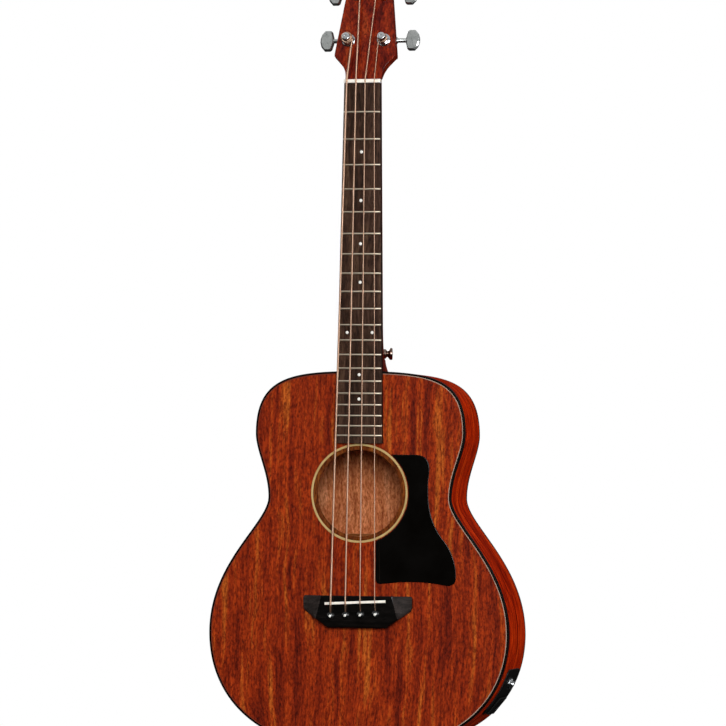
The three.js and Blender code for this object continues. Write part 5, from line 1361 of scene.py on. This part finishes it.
# the fretboard's long edges, painted nearly black as the shade on the board's side walls: dull
boardEdgeShade = woodFinish(
    "rosewoodEdgePaintedShade", {0.32: "#0d0908", 0.5: "#15100d", 0.7: "#1f1813"}, ("#8a7466", "#94806f", "#0a0706"),
    {"Roughness": 0.5, "IOR": 1.48, "Specular IOR Level": 0.06}, rosewoodFigure)
# blackened hardwood bridge, sanded and waxed: near black with faint grain along its length
bridgeWood = woodFinish(
    "waxedBlackHardwood", {0.3: "#090807", 0.5: "#0c0a09", 0.7: "#13100f"}, ("#a8a09a", "#b0a8a0", "#0a0908"),
    {"Roughness": 0.2, "IOR": 1.48, "Specular IOR Level": 0.18}, bridgeFigure, relief=0.1)
# the same hardwood where its ends were scooped out by hand sanding: the black is rubbed to a dull grey
scoopWood = woodFinish(
    "sandedBlackHardwood", {0.3: "#231d1b", 0.5: "#2d2624", 0.7: "#38302d"},
    ("#a8a09a", "#b0a8a0", "#181412"),
    {"Roughness": 0.55, "IOR": 1.48, "Specular IOR Level": 0.1}, bridgeFigure, relief=0.2)


# Plastics, bone, pearl and metals; the metals keep the default IOR
def plainFinish(name, colours, size, dullness, settings, relief=0.0):
    # two close colours and a roughness that both drift with noise of a size in millimetres; the relief is
    # noise six times finer
    material, tree, shader = newMaterial(name, settings)
    place = addNode(tree, "TexCoord").outputs["Object"]
    drift = addNode(tree, "TexNoise", {"Scale": 1 / (size * mm), "Detail": 3.0, "Roughness": 0.6},
                    {"Vector": place})
    tone = addNode(tree, "ValToRGB", {"stops": {0.35: colours[0], 0.65: colours[1]}}, {"Fac": drift})
    dull = addNode(tree, "MapRange", {"From Min": 0.3, "From Max": 0.7, "To Min": dullness[0],
                                      "To Max": dullness[1]}, {"Value": drift})
    linkInto(tree, shader, {"Base Color": tone, "Roughness": dull})
    if relief:
        fine = addNode(tree, "TexNoise", {"Scale": 6 / (size * mm), "Detail": 2.0}, {"Vector": place})
        bump = addNode(tree, "Bump", {"Strength": relief, "Distance": 0.0001}, {"Height": fine})
        linkInto(tree, shader, {"Normal": bump})
    return material


# celluloid-like sheet, die-cut and polished: deep black that mirrors softly, with faint handling haze
guardPlastic = plainFinish("polishedBlackSheet", ("#040302", "#070605"), 38, (0.1, 0.16),
                           {"IOR": 1.5, "Specular IOR Level": 0.2})
# ABS binding strip, scraped flush and lacquered over: plain deep black
bindingPlastic = plainFinish("lacqueredBlackBinding", ("#060404", "#0a0706"), 20, (0.25, 0.35),
                             {"IOR": 1.5, "Specular IOR Level": 0.05})
# ABS, injection-moulded with a fine matt texture: battery plate, box and drawer
mouldedAbs = plainFinish("mouldedBlackAbs", ("#060606", "#0a0a0a"), 6, (0.42, 0.52),
                         {"IOR": 1.5, "Specular IOR Level": 0.15}, 0.25)
# ABS pins, turned and tumbled to a shine: black with small round highlights
pinPlastic = plainFinish("tumbledBlackAbs", ("#080808", "#0e0e0e"), 5, (0.18, 0.3), {"IOR": 1.5})
# ivory-coloured celluloid ring, scraped flush and lacquered: pale, slightly yellow, a touch translucent
ringPlastic = plainFinish("ivoryCelluloid", ("#b0935c", "#bfa36c"), 12, (0.35, 0.45), {
    "IOR": 1.5, "Specular IOR Level": 0.2, "Subsurface Weight": 0.1,
    "Subsurface Radius": (0.0012, 0.0009, 0.0005), "Subsurface Scale": 1.0})
# bone, sawn and polished: warm white with soft cloudy grain
polishedBone = plainFinish("polishedBone", ("#ebe3d6", "#f6f0e6"), 4, (0.28, 0.4), {
    "IOR": 1.54, "Subsurface Weight": 0.15, "Subsurface Radius": (0.001, 0.0008, 0.0006),
    "Subsurface Scale": 1.0})
# mother-of-pearl discs, cut and polished: pale with cool and warm clouds
pearlShell = plainFinish("cutPearl", ("#dfe3de", "#f3ece2"), 2, (0.15, 0.3), {
    "IOR": 1.56, "Coat Weight": 0.6, "Coat Roughness": 0.08})
# battery's sleeve, left plain: dark grey lacquered steel
batterySkin = plainFinish("lacqueredBatteryCase", ("#3a3e41", "#45494c"), 11, (0.3, 0.42), {"IOR": 1.5})
# zinc die castings, chrome-plated and buffed: cool mirror with slight smears
chromePlate = plainFinish("buffedChromePlate", ("#c4c7c9", "#cdd0d2"), 6, (0.05, 0.14), {"Metallic": 1.0})
# the tuners' buttons and cases, chrome over a satin ground: a blurred, greyer mirror
satinChrome = plainFinish("satinChromePlate", ("#b1b5b3", "#bdc0be"), 5, (0.24, 0.34), {"Metallic": 1.0})
# steel strap buttons, nickel-plated: a darker, browner mirror, its tint a painted reflection of dark
# surroundings and the red wood
nickelWithPaintedReflection = plainFinish("nickelPlatePaintedReflection", ("#6f5b52", "#806c62"), 5, (0.12, 0.24), {"Metallic": 1.0})
# nickel silver fret wire, drawn, crowned and polished: warm pale lines with soft highlights
fretNickel = plainFinish("polishedNickelSilver", ("#cbbda8", "#d6cab6"), 3, (0.4, 0.5), {"Metallic": 1.0})
# steel rod and nut, plated thinly and left as turned: grey with fine turning marks
turnedSteel = plainFinish("turnedSteel", ("#8f9293", "#9a9d9e"), 3, (0.28, 0.42), {"Metallic": 1.0}, 0.3)

# cream line beside the binding, paled and greyed partly by a painted highlight along the edge
purflingWithPaintedHighlight = plainFinish("purflingPaintedHighlight", ("#8f7a6a", "#a38d7c"), 9, (0.4, 0.5),
                              {"IOR": 1.5, "Specular IOR Level": 0.2})
# the pale line is a painted highlight on the treble side only: towards the bass side, where no highlight
# falls, it takes the top's dark red
lineTree = purflingWithPaintedHighlight.node_tree
lineShader = next(node for node in lineTree.nodes if node.type == "BSDF_PRINCIPLED")
cream = lineShader.inputs["Base Color"].links[0].from_socket
linePlace = addNode(lineTree, "TexCoord")
across = addNode(lineTree, "SeparateXYZ", links={0: linePlace.outputs["Object"]})
# painted highlight: pale where X is above zero, on the treble side, and dark red on the bass side
paintedHighlightShare = addNode(lineTree, "MapRange", {"From Min": -0.02, "From Max": 0.08}, {"Value": across})
lineColourWithPaintedHighlight = addNode(lineTree, "Mix", {"data_type": "RGBA", 6: "#6a220c"}, {0: paintedHighlightShare, 7: cream})
linkInto(lineTree, lineShader, {"Base Color": lineColourWithPaintedHighlight.outputs[2]})


def wrappedString(pitch=0.9, lean=0.9):
    # phosphor bronze wound on a steel core: fine ridges across the string, from its UV, by
    #  sin(2 pi (length + lean * turn) / pitch), painted lighter on their crests as highlight and darker in
    #  the grooves as shade; the real wrap is about 0.3 mm wide and is drawn 0.9 mm wide so that it shows
    material, tree, shader = newMaterial("phosphorBronzeWound", {"Metallic": 1.0})
    place = addNode(tree, "UVMap", {"uv_map": "lengthAndTurn"})
    parts = addNode(tree, "SeparateXYZ", links={0: place})
    along = addNode(tree, "Math", {"operation": "MULTIPLY_ADD", 1: lean},
                    {0: parts.outputs[1], 2: parts.outputs[0]})
    wave = addNode(tree, "Math", {"operation": "MULTIPLY", 1: fullTurn / pitch}, {0: along})
    ridge = addNode(tree, "Math", {"operation": "SINE"}, {0: wave})
    level = addNode(tree, "MapRange", {"From Min": -1.0, "From Max": 1.0}, {"Value": ridge})
    # painted highlight on the crests and painted shade in the grooves
    tone = addNode(tree, "ValToRGB", {"stops": {0.1: "#86624e", 0.6: "#c19a80", 1.0: "#d8b8a0"}},
                   {"Fac": level})
    dull = addNode(tree, "MapRange", {"To Min": 0.5, "To Max": 0.32}, {"Value": level})
    bump = addNode(tree, "Bump", {"Strength": 0.4, "Distance": 0.0002}, {"Height": level})
    linkInto(tree, shader, {"Base Color": tone, "Roughness": dull, "Normal": bump})
    return material


woundBronze = wrappedString()
print("materials made")


# The body's pieces
addPiece("rim", [sidesShell()], [sideMahogany, bareMahogany], "sides", pick=sideFaces)
addPiece("soundboard", [topShell()], [topMahogany, bareMahogany, soundholeEdgeShade], "top_plate",
         pick=soundboardFaces)
addPiece("archedBack", [backShell()], [backMahogany, bareMahogany], "back_plate",
         pick=backFaces)
topEdging, backEdging = bindingSections()
for name, section, material, slot, node in (
        ("topBinding", topEdging, bindingPlastic, "black_plastic", "top_binding"),
        ("backBinding", backEdging, bindingPlastic, "black_plastic", "back_binding"),
        ("purflingLine", purflingSection(), purflingWithPaintedHighlight, "cream_ring", None)):
    addPiece(name, [gridShell(stripGrid(section), True, True)], material, node)
addPiece("soundholeRing", [ringShell()], ringPlastic, "rosette_ring")
print("body dressed")

# Neck, fretboard and nut
addPiece("neckAndHeadstock", [neckShell()], neckMahogany, "neck", sharp=38)
addPiece("fretboardWood", [boardShell()], [boardRosewood, boardEdgeShade], "fretboard",
         pick=boardEdges)
addPiece("fretWires", [fretShell(fret) for fret in range(1, board["frets"] + 1)], fretNickel)
addPiece("positionMarks", markShells(), pearlShell)
addPiece("slottedNut", [nutShell()], polishedBone, "nut")
print("neck dressed")

# Bridge, saddle, pins and pickguard
addPiece("bridgeBlock", [bridgeShell()], [bridgeWood, scoopWood], "bridge", pick=scoopFaces)
addPiece("slantedSaddle", [saddleShell()], polishedBone, "saddle")
for name, string in strings.items():
    pin, dot = pinShells(string)
    addPiece("bridgePin" + name.upper(), [pin], pinPlastic, "bridge_pin_" + name)
    addPiece("pinDot" + name.upper(), [dot], pearlShell)
guardSheet = plateShell(guardOutline(), frontY - guard["thickness"], frontY - hair, guard["edge"])
addPiece("polishedPickguard", [guardSheet], guardPlastic, "pickguard")
print("bridge and pickguard dressed")

# Strings and tuners
for name, string in strings.items():
    label, post = name.upper(), "string_post_" + name
    wire = [tubeShell(string["route"], string["radius"]), ballShell(string["ball"], stringRun["ballRadius"])]
    addPiece("stretchedString" + label, wire, woundBronze, "string_" + name)
    addPiece("stringTurns" + label, [helixShell(string)], woundBronze, "winding_" + name,
             post)
    addPiece("stringPost" + label, [postShell(string)], chromePlate, "tuner_post_" + name, post)
    addPiece("postWasher" + label, [bushingShell(string)], chromePlate, "tuner_bushing_" + name)
    addPiece("gearCase" + label, housingShells(string), satinChrome, "tuner_housing_" + name)
    addPiece("tunerKnob" + label, buttonShells(string), satinChrome, "tuner_button_" + name,
             "tuner_knob_" + name)
print("strings and tuners dressed")

# Strap buttons: the heel's one stands square on the heel's flank
heelMount = next(mount for mount in frame["record"]["mounts"] if mount["name"] == "heel_strap_button")
heelAxis, tailAxis = np.array(heelMount["axis"]), np.array([0, 0, -1.0])
for name, node, end, axis, height, foot in (
        ("heelStrapButton", "heel_strap_button", np.array(heelMount["pos_m"]) / mm, heelAxis,
         strapButton["heelHeight"], -1.2),
        ("tailStrapButton", "end_strap_button", np.zeros(3), tailAxis, strapButton["endHeight"], standOff)):
    button = latheShell(strapProfile(height, foot), end - axis * height, axis)
    addPiece(name, [button], nickelWithPaintedReflection, node)

# Battery plate, drawer and output jack
addPiece("sidePlate", plateShells(), mouldedAbs, "battery_box")
copyNode("batteryDrawer", "battery_tray", mouldedAbs, "battery_drawer", 0.35)
copyNode("batteryCell", "battery", batterySkin, "battery_drawer", 0.5)
addPiece("jackBarrel", jackShells(), chromePlate, "output_jack")
print("fittings dressed")

# Nodes that keep their own shape: steel in the neck and saddle, and blocks, linings and braces of bare wood
steelNodes = ["truss_rod", "truss_rod_nut", "saddle_pickup"]
woodNodes = ["top_lining", "back_lining", "neck_block", "tail_block", "top_x_brace", "top_cross_brace",
             "bridge_plate", "back_brace_1", "back_brace_2", "back_brace_3", "back_brace_4"]
for name in steelNodes + woodNodes:
    nodes[name].data.materials.clear()
    nodes[name].data.materials.append(turnedSteel if name in steelNodes else bareSpruce)


# Studio: white all round for the camera, a key beside it, soft lamps to the sides and behind, a pale floor
studio = {
    "worldFill": 0.3,
    "worldBelow": 0.07,          # fill from under the object, where a studio has nothing but the floor
    "glossLow": 0.02,            # what polished parts see at eye level
    "glossHigh": 0.7,            # and overhead
    "aim": (0, 0, 0.45),
    "lamps": {                   # place and size in metres, and watts
        "keyLamp": ((1.0, -3.8, 1.25), (1.5, 1.5), 116),
        "sideLamp": ((3.6, -1.6, 0.9), (1.4, 2.0), 80),
        "leftLamp": ((-3.4, -2.0, 1.8), (1.4, 2.2), 26),
        "backLamp": ((-2.1, 3.3, 1.7), (1.6, 1.6), 70),
    },
    "floorRadius": 3.4,
    "floorLevel": -0.0005,
    "floorColour": "#f1f0ee",
}

for name, (place, size, watts) in studio["lamps"].items():
    lamp = bpy.data.lights.new(name, "AREA")
    lamp.shape = "RECTANGLE"
    lamp.size, lamp.size_y = size
    lamp.energy = watts
    holder = bpy.data.objects.new(name, lamp)
    holder.location = place
    holder.rotation_euler = (Vector(place) - Vector(studio["aim"])).to_track_quat("Z", "Y").to_euler()
    bpy.context.scene.collection.objects.link(holder)

world = bpy.data.worlds.new("whiteStudio")
bpy.context.scene.world = world
world.use_nodes = True
air = world.node_tree
air.nodes.clear()
ray = addNode(air, "LightPath")
seen = addNode(air, "Math", {"operation": "MAXIMUM"},
               {0: ray.outputs["Is Camera Ray"], 1: ray.outputs["Is Transmission Ray"]})
direction = addNode(air, "TexCoord")
height = addNode(air, "SeparateXYZ", links={0: direction.outputs["Generated"]}).outputs[2]
gloss = addNode(air, "MapRange", {"interpolation_type": "SMOOTHSTEP", "From Min": 0.12, "From Max": 0.75,
                                  "To Min": studio["glossLow"], "To Max": studio["glossHigh"]},
                {"Value": height})
fill = addNode(air, "MapRange", {"From Min": -0.25, "From Max": 0.1, "To Min": studio["worldBelow"],
                                 "To Max": studio["worldFill"]}, {"Value": height})
other = addNode(air, "Mix", links={0: ray.outputs["Is Glossy Ray"], 2: fill, 3: gloss})
strength = addNode(air, "Mix", {3: 1.0}, {0: seen, 2: other})
sky = addNode(air, "Background", {"Color": "#ffffff"}, {"Strength": strength})
addNode(air, "OutputWorld", links={"Surface": sky})

# Floor: painted board near the object; towards its rim it fades into the white that the camera sees behind it
floorPaint, floorTree, floorShader = newMaterial(
    "matWhiteFloorPaint", {"Base Color": studio["floorColour"], "Roughness": 0.85})
floorPlace = addNode(floorTree, "TexCoord")
away = addNode(floorTree, "VectorMath", {"operation": "LENGTH"}, {0: floorPlace.outputs["Object"]})
fade = addNode(floorTree, "MapRange", {"interpolation_type": "SMOOTHSTEP", "From Min": 0.35, "From Max": 0.8},
               {"Value": away.outputs["Value"]})
floorRay = addNode(floorTree, "LightPath")
shown = addNode(floorTree, "Math", {"operation": "MULTIPLY"},
                {0: fade, 1: floorRay.outputs["Is Camera Ray"]})
glow = addNode(floorTree, "Emission", {"Color": "#ffffff", "Strength": 1.0})
blend = addNode(floorTree, "MixShader", links={0: shown, 1: floorShader, 2: glow})
floorOutput = next(node for node in floorTree.nodes if node.type == "OUTPUT_MATERIAL")
linkInto(floorTree, floorOutput, {"Surface": blend})

rings, sectors = 12, 96
turn = np.arange(sectors) / sectors * fullTurn
reach = np.linspace(0, studio["floorRadius"], rings)[:, None]
floorGrid = [reach * np.cos(turn), reach * np.sin(turn), studio["floorLevel"]]
floorGrid = np.stack(np.broadcast_arrays(*floorGrid), -1)
floorMesh = bpy.data.meshes.new("studioFloor")
floorMesh.from_pydata(floorGrid.reshape(-1, 3).tolist(), [], quads(rings, sectors, True).tolist())
floorMesh.materials.append(floorPaint)
floor = bpy.data.objects.new("studioFloor", floorMesh)
bpy.context.scene.collection.objects.link(floor)
floor.visible_glossy = False                     # keeps the floor's edge out of the polished rim,
floor.visible_diffuse = False                    # and its bounce off the underside, which stays dark

bpy.context.scene.view_settings.view_transform = "Standard"
print("studio lit")
